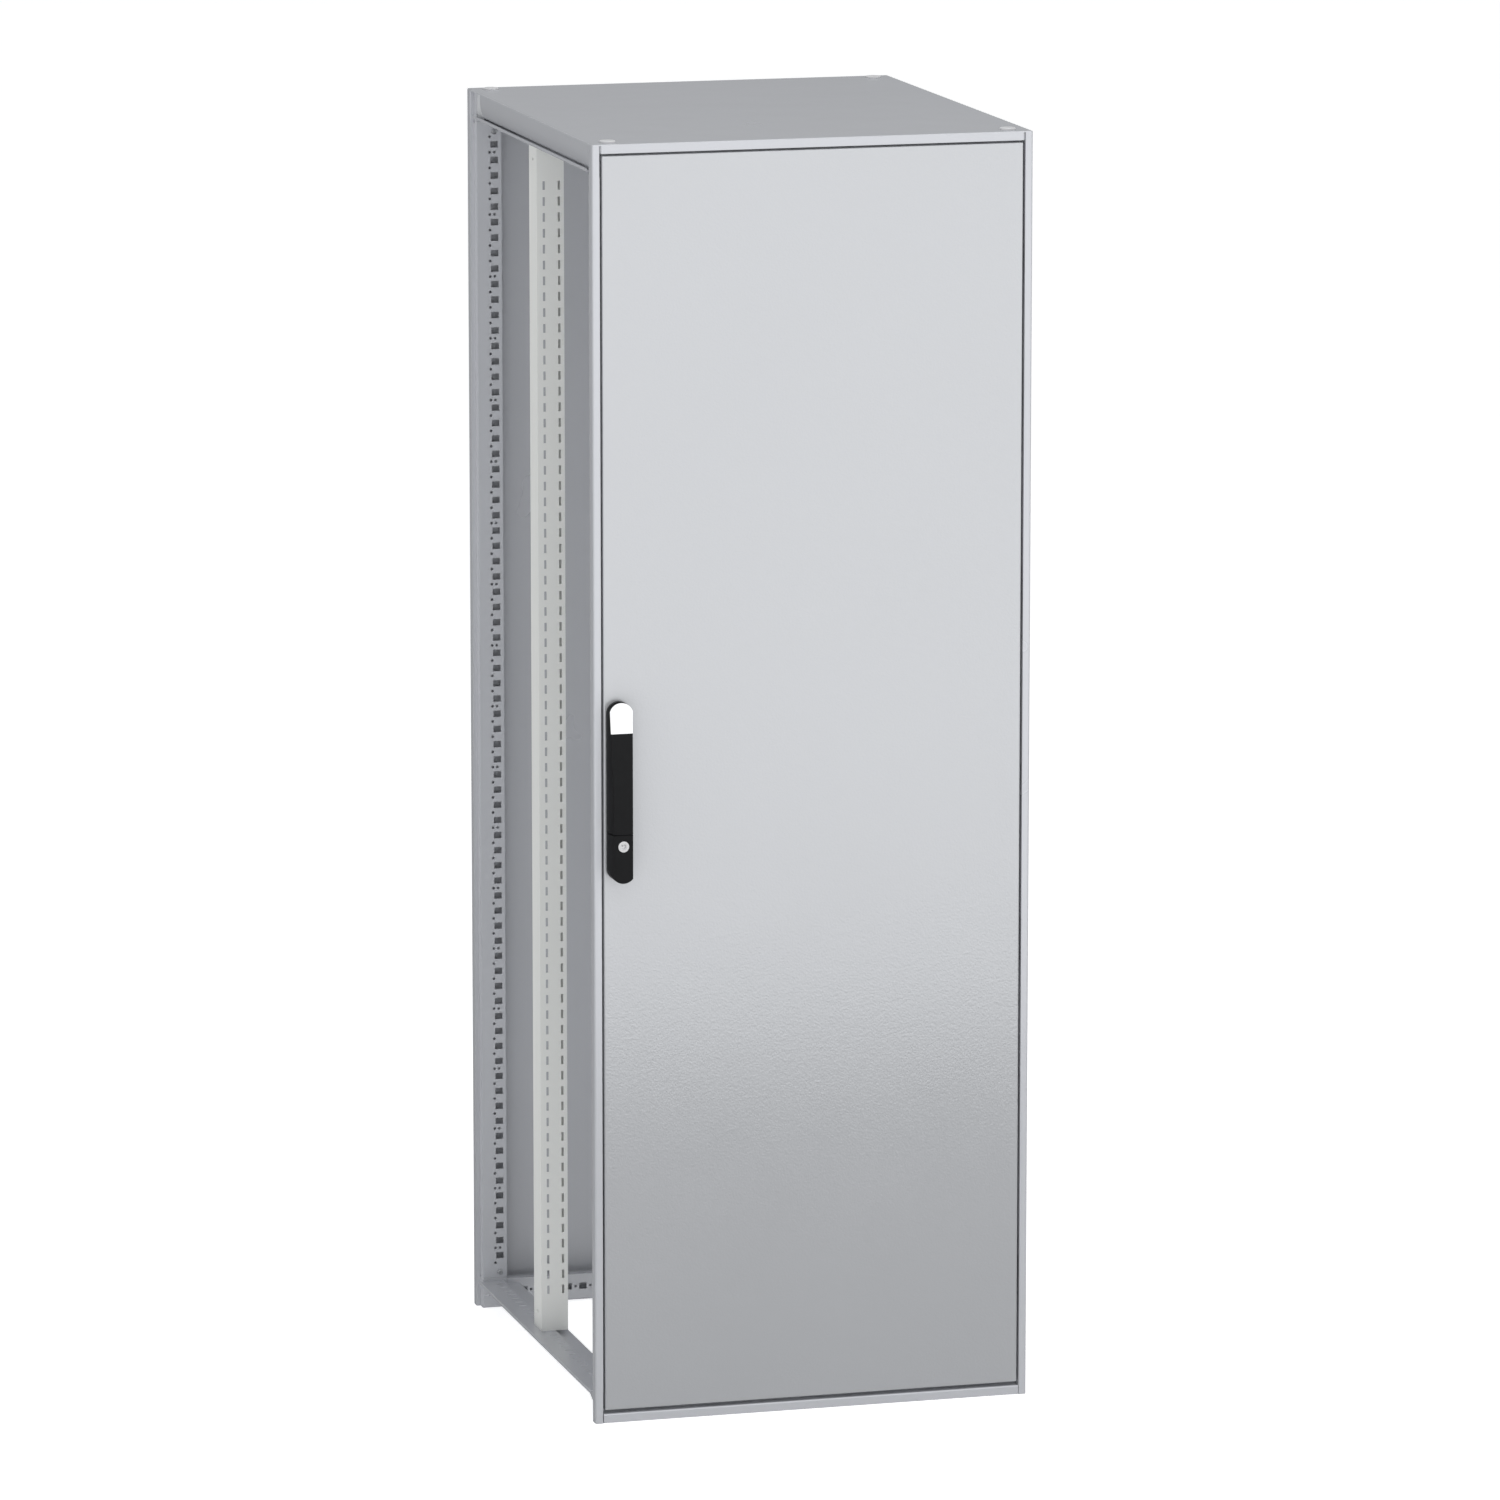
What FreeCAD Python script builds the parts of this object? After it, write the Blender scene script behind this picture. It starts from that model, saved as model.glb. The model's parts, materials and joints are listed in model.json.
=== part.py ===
# Free-standing switchboard cabinet: a frame of holed uprights, corner pieces and rails, open at both
# sides and underneath, with a roof, a rear panel and a hinged door with a swing handle and lock rods.
#
# Row frame: millimetres, +Z up, the door faces -Y, the hinges are at +X, and the origin is the
# middle of the footprint at floor level.
import FreeCAD, Part
import math
import os
import Sketcher

# ---------------------------------------------------------------- driving dimensions

DIMENSIONS = {
    "cab_width": (700, "overall width across the side faces"),
    "cab_depth": (800, "overall depth, front rim to rear rim"),
    "cab_height": (2000, "floor to the roof sheet's top"),
    "rim_width": (12.1, "front face of an upright's rim"),
    "rim_depth": (20, "side face of an upright's rim"),
    "side_step": (6.5, "set-back of the upright's body from the side face"),
    "body_width": (47, "inner edge of the upright's body from the side face"),
    "seal_depth": (22, "landing face for the door seal, behind the front"),
    "body_depth": (38, "inner holed face, behind the front"),
    "wall": (1.5, "sheet thickness of frame sections and panels"),
    "corner_height": (50, "height of a corner piece"),
    "fixing_in": (32, "vertical threaded hole from the side face"),
    "fixing_radius": (5.1, "radius of that hole"),
    "fixing_length": (35, "depth of that hole"),
    "hole_pitch": (25, "system pitch"),
    "hole_count": (74, "rectangular holes along an upright"),
    "hole_wide": (12.5, "rectangular hole across the upright"),
    "hole_tall": (10.5, "rectangular hole along the upright"),
    "hole_in": (35.1, "rectangular holes' centre line from the side face"),
    "round_in": (27.6, "round holes' centre line from the side face"),
    "round_radius": (2.25, "round hole"),
    "round_pitch": (100, "pitch of the second column of round holes"),
    "rim_tall": (15, "bottom rim strip"),
    "rail_rise": (6.5, "underside of a cross rail's body above the floor"),
    "rail_top": (47, "top of a cross rail's body"),
    "slot_length": (12, "slot in a rail"),
    "slot_width": (4, "slot in a rail"),
    "rail_plate": (45, "top face of a bottom depth rail"),
    "rail_step_in": (42, "inner edge of that face from the side"),
    "rail_step": (6, "drop to the inner flange"),
    "rail_inner": (68, "inner edge of the inner flange"),
    "rail_fold": (17, "down-fold at the inner flange"),
    "rail_lip": (5, "down-fold at the outer edge"),
    "rail_sheet": (2, "sheet of a depth rail"),
    "rail_slot_in": (30, "slot centre line from the side face"),
    "arm_length": (45, "corner piece's arm along the depth rail"),
    "arm_in": (8, "arm's outer face from the side face"),
    "arm_tall": (20, "arm's height"),
    "roof_sheet": (2, "roof sheet"),
    "roof_strip": (14, "folded front strip of the roof"),
    "roof_skirt": (12, "straight part of the side skirt, sheet included"),
    "skirt_radius": (28, "curved part of the side skirt"),
    "skirt_turn": (50, "angle of that curve"),
    "plug_radius": (12.5, "cap over a roof screw"),
    "plug_head": (3.2, "cap's height"),
    "roof_hole": (6.5, "roof hole around a roof screw"),
    "panel_flange": (27, "rear panel's inner flange"),
    "panel_seal": (2, "room for the rear panel's seal"),
    "rear_low": (9, "rear screws above the upright's lower end"),
    "rear_high": (17, "rear screws below the upright's upper end"),
    "door_gap": (3.4, "gap between rim and door at the sides"),
    "door_low": (21, "door's lower edge above the floor"),
    "door_top_gap": (17.5, "door's upper edge below the roof's top"),
    "door_fold": (17, "depth of the door's folded edge"),
    "edge_radius": (2.5, "outer radius of folded edges"),
    "hinge_in": (8.5, "hinge axis from the door's edge"),
    "hinge_back": (6.5, "hinge axis behind the door's face"),
    "hinge_count": (4, "hinges"),
    "hinge_end": (170, "outer hinges from the door's ends"),
    "hinge_tall": (60, "hinge height"),
    "eye_tall": (24, "frame eye between the knuckles"),
    "eye_radius": (4.2, "outside of eye and knuckles"),
    "pin_radius": (2.25, "hinge pin"),
    "pin_play": (0.05, "radial clearance of a running fit"),
    "play": (0.3, "clearance between pieces that only pass"),
    "seal_width": (6, "door seal"),
    "handle_in": (38.7, "handle's centre line from the side face"),
    "handle_mid": (1002, "handle's middle above the floor"),
    "handle_length": (280, "handle's length"),
    "handle_width": (38, "handle's width at its base"),
    "base_thick": (8, "handle's base plate"),
    "grip_depth": (32, "front of the grip from the door's face"),
    "grip_top_depth": (20, "front of the lever at its upper end"),
    "grip_draft": (4, "set-back of each side at the front"),
    "lock_tall": (75.5, "height of the lock housing"),
    "insert_tall": (47, "height of the white insert"),
    "spindle_drop": (37, "spindle below the handle's upper end"),
    "tilt_drop": (14, "tilt pin below the handle's upper end"),
    "key_radius": (8.5, "lock cylinder"),
    "key_drop": (82, "lock cylinder below the handle's middle"),
    "pinion_radius": (8, "pitch radius of the lock pinion"),
    "rod_deep": (10, "lock rod, front to back"),
    "rod_thick": (3.2, "lock rod, side to side"),
    "rod_in": (10.8, "lock rod's middle from the handle's centre line"),
    "rod_back": (9, "lock rod's middle plane behind the door's face"),
    "inner_in": (18.4, "inner upright's outer face from the side"),
    "inner_width": (43.6, "inner upright's width"),
    "inner_deep": (49, "inner upright's depth"),
    "inner_back": (417, "inner upright's face behind the front"),
    "inner_slots": (72, "slots in each column"),
    "inner_slot": (14, "slot's height"),
    "inner_col_a": (11.3, "first column from the inner upright's outer face"),
    "inner_col_b": (35.6, "second column from the inner upright's outer face"),
    "bracket_thick": (3, "angle bracket"),
    "spindle_radius": (8, "handle's boss in its base"),
    "shaft_radius": (4, "spindle inside the lock case"),
    "tilt_radius": (2, "tilt pin"),
    "tilt_out": (5, "tilt pin in front of the base plate"),
    "rotor_half": (4, "half thickness of the rotor"),
    "shoulder": (16, "depth at which the handle's sides start to draw in"),
    "insert_thick": (1.6, "white insert"),
    "case_half": (13.9, "half width of the lock case"),
    "case_tall": (90, "height of the lock case"),
    "case_deep": (17, "depth of the lock case"),
    "case_wall": (1.2, "wall of the lock case and of a rod guide"),
    "teeth": (12, "teeth of the pinion"),
    "rod_end": (14.5, "gap from a rod's end to the door's edge"),
    "keep_tall": (12, "height of a keep"),
    "plug_turn_radius": (5.5, "turning plug of the lock cylinder"),
    "stiff_in": (45, "door stiffener from the door's sides"),
    "stiff_wide": (20, "width of the stiffener's tube"),
    "stiff_deep": (18, "depth of the stiffener's tube"),
    "flat_head": (1.5, "sunk screw head"),
    "screw_radius": (3, "M6 shank"),
    "head_radius": (5, "screw head"),
    "head_tall": (3, "screw head"),
}

doc = FreeCAD.newDocument("switchboard_cabinet")
sheet = doc.addObject("Spreadsheet::Sheet", "dim")
for row, (alias, (value, note)) in enumerate(DIMENSIONS.items(), start=1):
    sheet.set(f"A{row}", note)
    sheet.set(f"B{row}", str(value))
    sheet.setAlias(f"B{row}", alias)
doc.recompute()
size = {alias: float(sheet.get(alias)) for alias in DIMENSIONS}

LEFT = "(-dim.cab_width / 2)"
FRONT = "(-dim.cab_depth / 2)"
REAR = "(dim.cab_depth / 2)"
ROOF = "dim.cab_height"
HANDLE_X = f"({LEFT} + dim.handle_in)"
HANDLE_TOP = "(dim.handle_mid + dim.handle_length / 2)"
SPINDLE_Z = f"({HANDLE_TOP} - dim.spindle_drop)"
DOOR_LEFT = f"({LEFT} + dim.rim_width + dim.door_gap)"
DOOR_RIGHT = "(dim.cab_width / 2 - dim.rim_width - dim.door_gap)"
DOOR_TOP = f"({ROOF} - dim.door_top_gap)"
AXIS_X = f"({DOOR_RIGHT} - dim.hinge_in)"
AXIS_Y = f"({FRONT} + dim.hinge_back)"
FIXING_BACK = "((dim.seal_depth + dim.body_depth) / 2)"

nodes = {}


# ---------------------------------------------------------------- helpers

def bind(item, **cells):
    """Set properties from the sheet; a double underscore stands for a dot."""
    for name, expression in cells.items():
        item.setExpression(name.replace("__", "."), expression)
    return item


def place(item, x, y, z):
    return bind(item, Placement__Base__x=x, Placement__Base__y=y, Placement__Base__z=z)


def node(item, label):
    """Keep an object as one of the cabinet's pieces."""
    item.Label = label
    nodes[label] = item
    return item


def block(name, x, y, z):
    """A box between pairs of expressions."""
    item = doc.addObject("Part::Box", name)
    bind(item, Length=f"{x[1]} - ({x[0]})", Width=f"{y[1]} - ({y[0]})", Height=f"{z[1]} - ({z[0]})")
    return place(item, x[0], y[0], z[0])


TURNS = {
    "x": FreeCAD.Rotation(FreeCAD.Vector(0, 1, 0), 90),
    "y": FreeCAD.Rotation(FreeCAD.Vector(1, 0, 0), -90),
    "z": FreeCAD.Rotation(),
}


def drum(name, axis, x, y, z, radius, length):
    """A cylinder that starts at x, y, z and runs along +axis."""
    item = doc.addObject("Part::Cylinder", name)
    item.Placement = FreeCAD.Placement(FreeCAD.Vector(), TURNS[axis])
    bind(item, Radius=radius, Height=length)
    return place(item, x, y, z)


def cut(name, base, *tools):
    item = doc.addObject("Part::Cut", name)
    item.Base = base
    item.Tool = tools[0] if len(tools) == 1 else group(f"{name}_tools", *tools)
    return item


def fuse(name, *pieces):
    item = doc.addObject("Part::MultiFuse", name)
    item.Shapes = list(pieces)
    item.Refine = True
    return item


def common(name, *pieces):
    item = doc.addObject("Part::MultiCommon", name)
    item.Shapes = list(pieces)
    return item


def group(name, *pieces):
    item = doc.addObject("Part::Compound", name)
    item.Links = list(pieces)
    return item


def mirror(name, source, normal, base=None):
    item = doc.addObject("Part::Mirroring", name)
    item.Source = source
    item.Normal = normal
    if base:
        bind(item, Base__z=base)
    return item


ACROSS = (1, 0, 0)
ALONG = (0, 1, 0)
UP = (0, 0, 1)


def round_edges(name, base, radius, chosen):
    """Fillet the edges of a base for which chosen(edge) is true."""
    doc.recompute()
    item = doc.addObject("Part::Fillet", name)
    item.Base = base
    item.Edges = [(number, radius, radius)
                  for number, edge in enumerate(base.Shape.Edges, start=1) if chosen(edge)]
    return item


def body(name):
    return doc.addObject("PartDesign::Body", name)


def origin_item(owner, role):
    return next(item for item in owner.Origin.OriginFeatures if item.Role == role)


def sketch_on(owner, name, role, lift="0"):
    sketch = owner.newObject("Sketcher::SketchObject", name)
    sketch.AttachmentSupport = (origin_item(owner, role), [""])
    sketch.MapMode = "FlatFace"
    sketch.setExpression("AttachmentOffset.Base.z", lift)
    return sketch


def outline(sketch, corners):
    """A closed outline whose corners sit at pairs of expressions."""
    count = len(corners)
    first = sketch.GeometryCount
    turn = 2 * math.pi / count
    dots = [FreeCAD.Vector(math.cos(turn * i), math.sin(turn * i), 0) for i in range(count)]
    rules = []
    for i in range(count):
        sketch.addGeometry(Part.LineSegment(dots[i], dots[(i + 1) % count]), False)
    for i in range(count):
        rules.append(Sketcher.Constraint("Coincident", first + i, 2, first + (i + 1) % count, 1))
    sketch.addConstraint(rules)
    for i, (across, up) in enumerate(corners):
        for kind, expression in (("DistanceX", across), ("DistanceY", up)):
            rule = Sketcher.Constraint(kind, first + i, 1, dots[i].x if kind == "DistanceX" else dots[i].y)
            sketch.setExpression(f"Constraints[{sketch.addConstraint(rule)}]", expression)


def rectangle(sketch, across, up, wide, tall):
    """A rectangle about a centre."""
    outline(sketch, [(f"{across} {sx} {wide} / 2", f"{up} {sz} {tall} / 2")
                     for sx, sz in (("-", "-"), ("+", "-"), ("+", "+"), ("-", "+"))])


def ring(sketch, across, up, radius):
    """A circle about a centre."""
    item = sketch.addGeometry(Part.Circle(FreeCAD.Vector(1, 1, 0), FreeCAD.Vector(0, 0, 1), 1), False)
    for kind, expression in (("DistanceX", across), ("DistanceY", up)):
        rule = sketch.addConstraint(Sketcher.Constraint(kind, item, 3, 1.0))
        sketch.setExpression(f"Constraints[{rule}]", expression)
    rule = sketch.addConstraint(Sketcher.Constraint("Radius", item, 1.0))
    sketch.setExpression(f"Constraints[{rule}]", radius)


def pad(owner, sketch, length, away=False):
    item = owner.newObject("PartDesign::Pad", f"{sketch.Name}_pad")
    item.Profile = sketch
    item.Reversed = away
    bind(item, Length=length)
    owner.Tip = item
    return item


def hole_row(owner, sketch, depth, role, pitch, count):
    """Cut a sketch through one wall and repeat it along an axis of the body."""
    item = owner.newObject("PartDesign::Pocket", f"{sketch.Name}_cut")
    item.Profile = sketch
    bind(item, Length=depth)
    owner.Tip = item
    doc.recompute()
    row_of = owner.newObject("PartDesign::LinearPattern", f"{sketch.Name}_row")
    row_of.Originals = [item]
    row_of.Direction = (origin_item(owner, role), [""])
    bind(row_of, Length=f"{pitch} * ({count} - 1)", Occurrences=count)
    owner.Tip = row_of
    return row_of


def screw(name, axis, forward, x, y, z, length, tall="dim.head_tall"):
    """A screw: the head's seat is at x, y, z and the shank runs forward or back along the axis."""
    steps = {"x": x, "y": y, "z": z}
    shank = dict(steps)
    head = dict(steps)
    if forward:
        head[axis] = f"{steps[axis]} - {tall}"
    else:
        shank[axis] = f"{steps[axis]} - {length}"
    shaft = drum(f"{name}_shank", axis, shank["x"], shank["y"], shank["z"], "dim.screw_radius", length)
    top = drum(f"{name}_head", axis, head["x"], head["y"], head["z"], "dim.head_radius", tall)
    return fuse(name, shaft, top)


# ---------------------------------------------------------------- uprights

def upright_outline(inset):
    """Section of an upright seen from above, with its side face at 0 and its front at 0."""
    rim = f"dim.rim_width - {inset}"
    return [(inset, inset), (rim, inset), (rim, f"dim.seal_depth + {inset}"),
            (f"dim.body_width - {inset}", f"dim.seal_depth + {inset}"),
            (f"dim.body_width - {inset}", f"dim.body_depth - {inset}"),
            (f"dim.side_step + {inset}", f"dim.body_depth - {inset}"),
            (f"dim.side_step + {inset}", f"dim.rim_depth - {inset}"),
            (inset, f"dim.rim_depth - {inset}")]


UPRIGHT_LENGTH = f"({ROOF} - 2 * dim.corner_height)"
FIRST_HOLE = f"({UPRIGHT_LENGTH} - dim.hole_pitch * (dim.hole_count - 1)) / 2"
INNER_WALL = "-(dim.body_depth - dim.wall - 0.5)"


def make_upright():
    owner = body("upright_section")
    section = sketch_on(owner, "upright_outline", "XY_Plane")
    outline(section, upright_outline("0"))
    outline(section, upright_outline("dim.wall"))
    pad(owner, section, UPRIGHT_LENGTH)
    through = "dim.wall + 1"
    square = sketch_on(owner, "upright_square", "XZ_Plane", INNER_WALL)
    rectangle(square, "dim.hole_in", FIRST_HOLE, "dim.hole_wide", "dim.hole_tall")
    hole_row(owner, square, through, "Z_Axis", "dim.hole_pitch", "dim.hole_count")
    small = sketch_on(owner, "upright_round", "XZ_Plane", INNER_WALL)
    ring(small, "dim.round_in", f"{FIRST_HOLE} - dim.hole_pitch / 2", "dim.round_radius")
    hole_row(owner, small, through, "Z_Axis", "dim.hole_pitch", "(dim.hole_count + 1)")
    extra = sketch_on(owner, "upright_extra", "XZ_Plane", INNER_WALL)
    ring(extra, "dim.hole_in", f"{FIRST_HOLE} + dim.hole_pitch / 2", "dim.round_radius")
    hole_row(owner, extra, through, "Z_Axis", "dim.round_pitch",
             f"floor({UPRIGHT_LENGTH} / dim.round_pitch)")
    fixing = sketch_on(owner, "upright_fixing", "XZ_Plane", "-(dim.seal_depth - 0.5)")
    ring(fixing, "dim.hole_in", "dim.rear_low", "dim.screw_radius")
    ring(fixing, "dim.hole_in", f"{UPRIGHT_LENGTH} - dim.rear_high", "dim.screw_radius")
    bore = owner.newObject("PartDesign::Pocket", "upright_fixing_cut")
    bore.Profile = fixing
    bind(bore, Length="dim.body_depth - dim.seal_depth + 1")
    notch = sketch_on(owner, "upright_notch", "XZ_Plane", "-(dim.rim_depth - 1)")
    rectangle(notch, "dim.side_step + 0.5", "1.5", "3", "3")
    rectangle(notch, "dim.side_step + 0.5", f"{UPRIGHT_LENGTH} - 1.5", "3", "3")
    relief = owner.newObject("PartDesign::Pocket", "upright_notch_cut")
    relief.Profile = notch
    bind(relief, Length="6")
    owner.Tip = relief
    return place(owner, LEFT, FRONT, "dim.corner_height")


front_left = node(make_upright(), "upright_front_left")
node(mirror("upright_fr", front_left, ACROSS), "upright_front_right")
rear_left = node(mirror("upright_rl", front_left, ALONG), "upright_rear_left")
node(mirror("upright_rr", rear_left, ACROSS), "upright_rear_right")


# ---------------------------------------------------------------- corner pieces

def make_corner():
    """Bottom corner piece: the upright's section cast solid, with an arm under the depth rail."""
    owner = body("corner_section")
    section = sketch_on(owner, "corner_outline", "XY_Plane")
    outline(section, upright_outline("0"))
    pad(owner, section, "dim.corner_height")
    place(owner, LEFT, FRONT, "0")
    arm = body("corner_arm")
    side = sketch_on(arm, "arm_side", "YZ_Plane")
    under = "(dim.rail_plate - dim.rail_sheet)"
    outline(side, [("0", under), ("dim.arm_length", under), ("dim.arm_length", f"{under} - 6"),
                   ("dim.arm_length * 0.25", f"{under} - dim.arm_tall"), ("0", f"{under} - dim.arm_tall")])
    pad(arm, side, "dim.rail_step_in - dim.rail_sheet - 1 - dim.arm_in")
    place(arm, f"{LEFT} + dim.arm_in", f"{FRONT} + dim.body_depth", "0")
    thread = drum("corner_thread", "z", f"{LEFT} + dim.fixing_in", f"{FRONT} + {FIXING_BACK}", "0",
                  "dim.fixing_radius", "dim.fixing_length")
    return cut("corner_cast", fuse("corner_whole", owner, arm), thread)


corner = node(make_corner(), "corner_bottom_front_left")
node(mirror("corner_bfr", corner, ACROSS), "corner_bottom_front_right")
corner_rear = node(mirror("corner_brl", corner, ALONG), "corner_bottom_rear_left")
node(mirror("corner_brr", corner_rear, ACROSS), "corner_bottom_rear_right")
corner_handle_fixings = mirror("corner_handle_fixings", corner, UP, f"{ROOF} / 2")
top_left = node(cut("corner_top", corner_handle_fixings,
                    block("corner_top_trim", (f"{LEFT} - 1", f"{LEFT} + dim.body_width + 1"),
                          (f"{FRONT} - 1", f"{FRONT} + dim.body_depth + 1"),
                          (f"{ROOF} - dim.roof_sheet", f"{ROOF} + 1"))), "corner_top_front_left")
node(mirror("corner_tfr", top_left, ACROSS), "corner_top_front_right")
top_rear = node(mirror("corner_trl", top_left, ALONG), "corner_top_rear_left")
node(mirror("corner_trr", top_rear, ACROSS), "corner_top_rear_right")


# ---------------------------------------------------------------- cross rails

RAIL_SPAN = "(dim.cab_width - 2 * dim.body_width)"


def tube(name, x, y, z):
    """A thin rectangular tube along X."""
    outer = block(f"{name}_outer", x, y, z)
    inner = block(f"{name}_inner", (f"{x[0]} - 1", f"{x[1]} + 1"),
                  (f"{y[0]} + dim.wall", f"{y[1]} - dim.wall"), (f"{z[0]} + dim.wall", f"{z[1]} - dim.wall"))
    return cut(name, outer, inner)


def make_cross_rail():
    """Front bottom rail: a holed box section, with the rim strip under the door on its front."""
    owner = body("cross_section")
    section = sketch_on(owner, "cross_outline", "YZ_Plane")
    for inset in ("0", "dim.wall"):
        outline(section, [(f"dim.seal_depth + {inset}", f"dim.rail_rise + {inset}"),
                          (f"dim.body_depth - {inset}", f"dim.rail_rise + {inset}"),
                          (f"dim.body_depth - {inset}", f"dim.rail_top - {inset}"),
                          (f"dim.seal_depth + {inset}", f"dim.rail_top - {inset}")])
    pad(owner, section, RAIL_SPAN)
    through = "dim.wall + 1"
    count = f"floor(({RAIL_SPAN} - 30) / dim.hole_pitch)"
    first = f"({RAIL_SPAN} - dim.hole_pitch * ({count} - 1)) / 2"
    middle = "(dim.rail_rise + dim.rail_top) / 2"
    square = sketch_on(owner, "cross_square", "XZ_Plane", INNER_WALL)
    rectangle(square, first, middle, "dim.hole_wide", "dim.hole_tall")
    hole_row(owner, square, through, "X_Axis", "dim.hole_pitch", count)
    small = sketch_on(owner, "cross_round", "XZ_Plane", INNER_WALL)
    ring(small, f"{first} + dim.hole_pitch / 2", middle, "dim.round_radius")
    hole_row(owner, small, through, "X_Axis", "dim.hole_pitch", f"({count} - 1)")
    slot = sketch_on(owner, "cross_slot", "XY_Plane", "dim.rail_top + 0.5")
    rectangle(slot, first, "(dim.seal_depth + dim.body_depth) / 2", "dim.slot_length", "dim.slot_width")
    hole_row(owner, slot, through, "X_Axis", "dim.hole_pitch", count)
    return place(owner, f"{LEFT} + dim.body_width", FRONT, "0")


RIM_X = (f"{LEFT} + dim.rim_width + 0.9", "dim.cab_width / 2 - dim.rim_width - 0.9")
cross = make_cross_rail()
rim_tube = tube("rim_tube", RIM_X, (FRONT, f"{FRONT} + dim.seal_depth"), ("0", "dim.rim_tall"))
rim_edges = round_edges("rim_edges", rim_tube, size["edge_radius"],
                        lambda edge: abs(edge.BoundBox.YMax + size["cab_depth"] / 2) < 0.01
                        and edge.BoundBox.XLength > size["cab_width"] / 2)
bottom_rail = node(fuse("cross_bottom", cross, rim_edges), "cross_rail_front_bottom")
node(mirror("cross_rear", bottom_rail, ALONG), "cross_rail_rear_bottom")
strip_low = f"({ROOF} - dim.roof_strip)"
cap_tube = tube("cap_tube", RIM_X, (f"{FRONT} + dim.roof_sheet + 0.3", f"{FRONT} + dim.seal_depth"),
                (f"{strip_low} + 0.5", f"{ROOF} - dim.roof_sheet"))
cross_up = mirror("cross_up", cross, UP, f"{ROOF} / 2")
top_rail = node(fuse("cross_top", cross_up, cap_tube), "cross_rail_front_top")
node(mirror("cross_top_back", top_rail, ALONG), "cross_rail_rear_top")


# ---------------------------------------------------------------- depth rails

def make_depth_rail():
    """Bottom left depth rail: a stepped sheet section with slots at the system pitch."""
    owner = body("depth_section")
    section = sketch_on(owner, "depth_outline", "XZ_Plane")
    sheet_thick = "dim.rail_sheet"
    top = "dim.rail_plate"
    low = "(dim.rail_plate - dim.rail_step)"
    lip = "(dim.rail_plate - dim.rail_lip)"
    outline(section, [("0.5", lip), (f"0.5 + {sheet_thick}", lip),
                      (f"0.5 + {sheet_thick}", f"{top} - {sheet_thick}"),
                      (f"dim.rail_step_in - {sheet_thick}", f"{top} - {sheet_thick}"),
                      (f"dim.rail_step_in - {sheet_thick}", f"{low} - {sheet_thick}"),
                      (f"dim.rail_inner - {sheet_thick}", f"{low} - {sheet_thick}"),
                      (f"dim.rail_inner - {sheet_thick}", f"{low} - dim.rail_fold"),
                      ("dim.rail_inner", f"{low} - dim.rail_fold"), ("dim.rail_inner", low),
                      ("dim.rail_step_in", low), ("dim.rail_step_in", top), ("0.5", top)])
    length = "(dim.cab_depth - 2 * dim.body_depth)"
    pad(owner, section, length, away=True)
    count = f"floor({length} / dim.hole_pitch)"
    slot = sketch_on(owner, "depth_slot", "XY_Plane", f"{top} + 0.5")
    rectangle(slot, "dim.rail_slot_in", f"({length} - dim.hole_pitch * ({count} - 1)) / 2",
              "dim.slot_length", "dim.slot_width")
    hole_row(owner, slot, "dim.rail_sheet + 1", "Y_Axis", "dim.hole_pitch", count)
    return place(owner, LEFT, f"{FRONT} + dim.body_depth", "0")


bracket_spot = (f"{LEFT} + dim.inner_in + dim.rail_sheet + 12",
                f"{FRONT} + dim.inner_back + dim.inner_deep / 2")
bracket_tap = drum("bracket_tap", "z", *bracket_spot, "dim.rail_plate - dim.rail_sheet - 1",
                   "dim.screw_radius", "dim.rail_sheet + 2")
depth_left = node(cut("depth_left", make_depth_rail(), bracket_tap), "depth_rail_bottom_left")
node(mirror("depth_br", depth_left, ACROSS), "depth_rail_bottom_right")
depth_top = node(mirror("depth_tl", depth_left, UP, f"{ROOF} / 2"), "depth_rail_top_left")
node(mirror("depth_tr", depth_top, ACROSS), "depth_rail_top_right")


# ---------------------------------------------------------------- roof

def make_skirt():
    """Left side skirt of the roof: straight, then curved under towards the depth rail."""
    start = FreeCAD.Vector(-size["cab_width"] / 2, 0, size["cab_height"] - size["roof_skirt"])
    outer = size["skirt_radius"]
    inner = outer - size["wall"]
    turn = math.radians(size["skirt_turn"])
    middle = start + FreeCAD.Vector(outer, 0, 0)

    def at(radius, angle):
        return middle + FreeCAD.Vector(-radius * math.cos(angle), 0, -radius * math.sin(angle))

    edges = [Part.Arc(at(outer, 0), at(outer, turn / 2), at(outer, turn)).toShape(),
             Part.makeLine(at(outer, turn), at(inner, turn)),
             Part.Arc(at(inner, turn), at(inner, turn / 2), at(inner, 0)).toShape(),
             Part.makeLine(at(inner, 0), at(outer, 0))]
    clear = size["body_depth"] + size["arm_length"] + 1
    face = Part.Face(Part.Wire(edges))
    face.translate(FreeCAD.Vector(0, -size["cab_depth"] / 2 + clear, 0))
    item = doc.addObject("Part::Feature", "skirt_curve")
    item.Shape = face.extrude(FreeCAD.Vector(0, size["cab_depth"] - 2 * clear, 0))
    straight = block("skirt_straight", (LEFT, f"{LEFT} + dim.wall"),
                     (f"{FRONT} + dim.rim_depth + 0.5", f"{REAR} - dim.rim_depth - 0.5"),
                     (f"{ROOF} - dim.roof_skirt", f"{ROOF} - dim.roof_sheet"))
    return fuse("skirt_left", straight, item)


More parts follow.
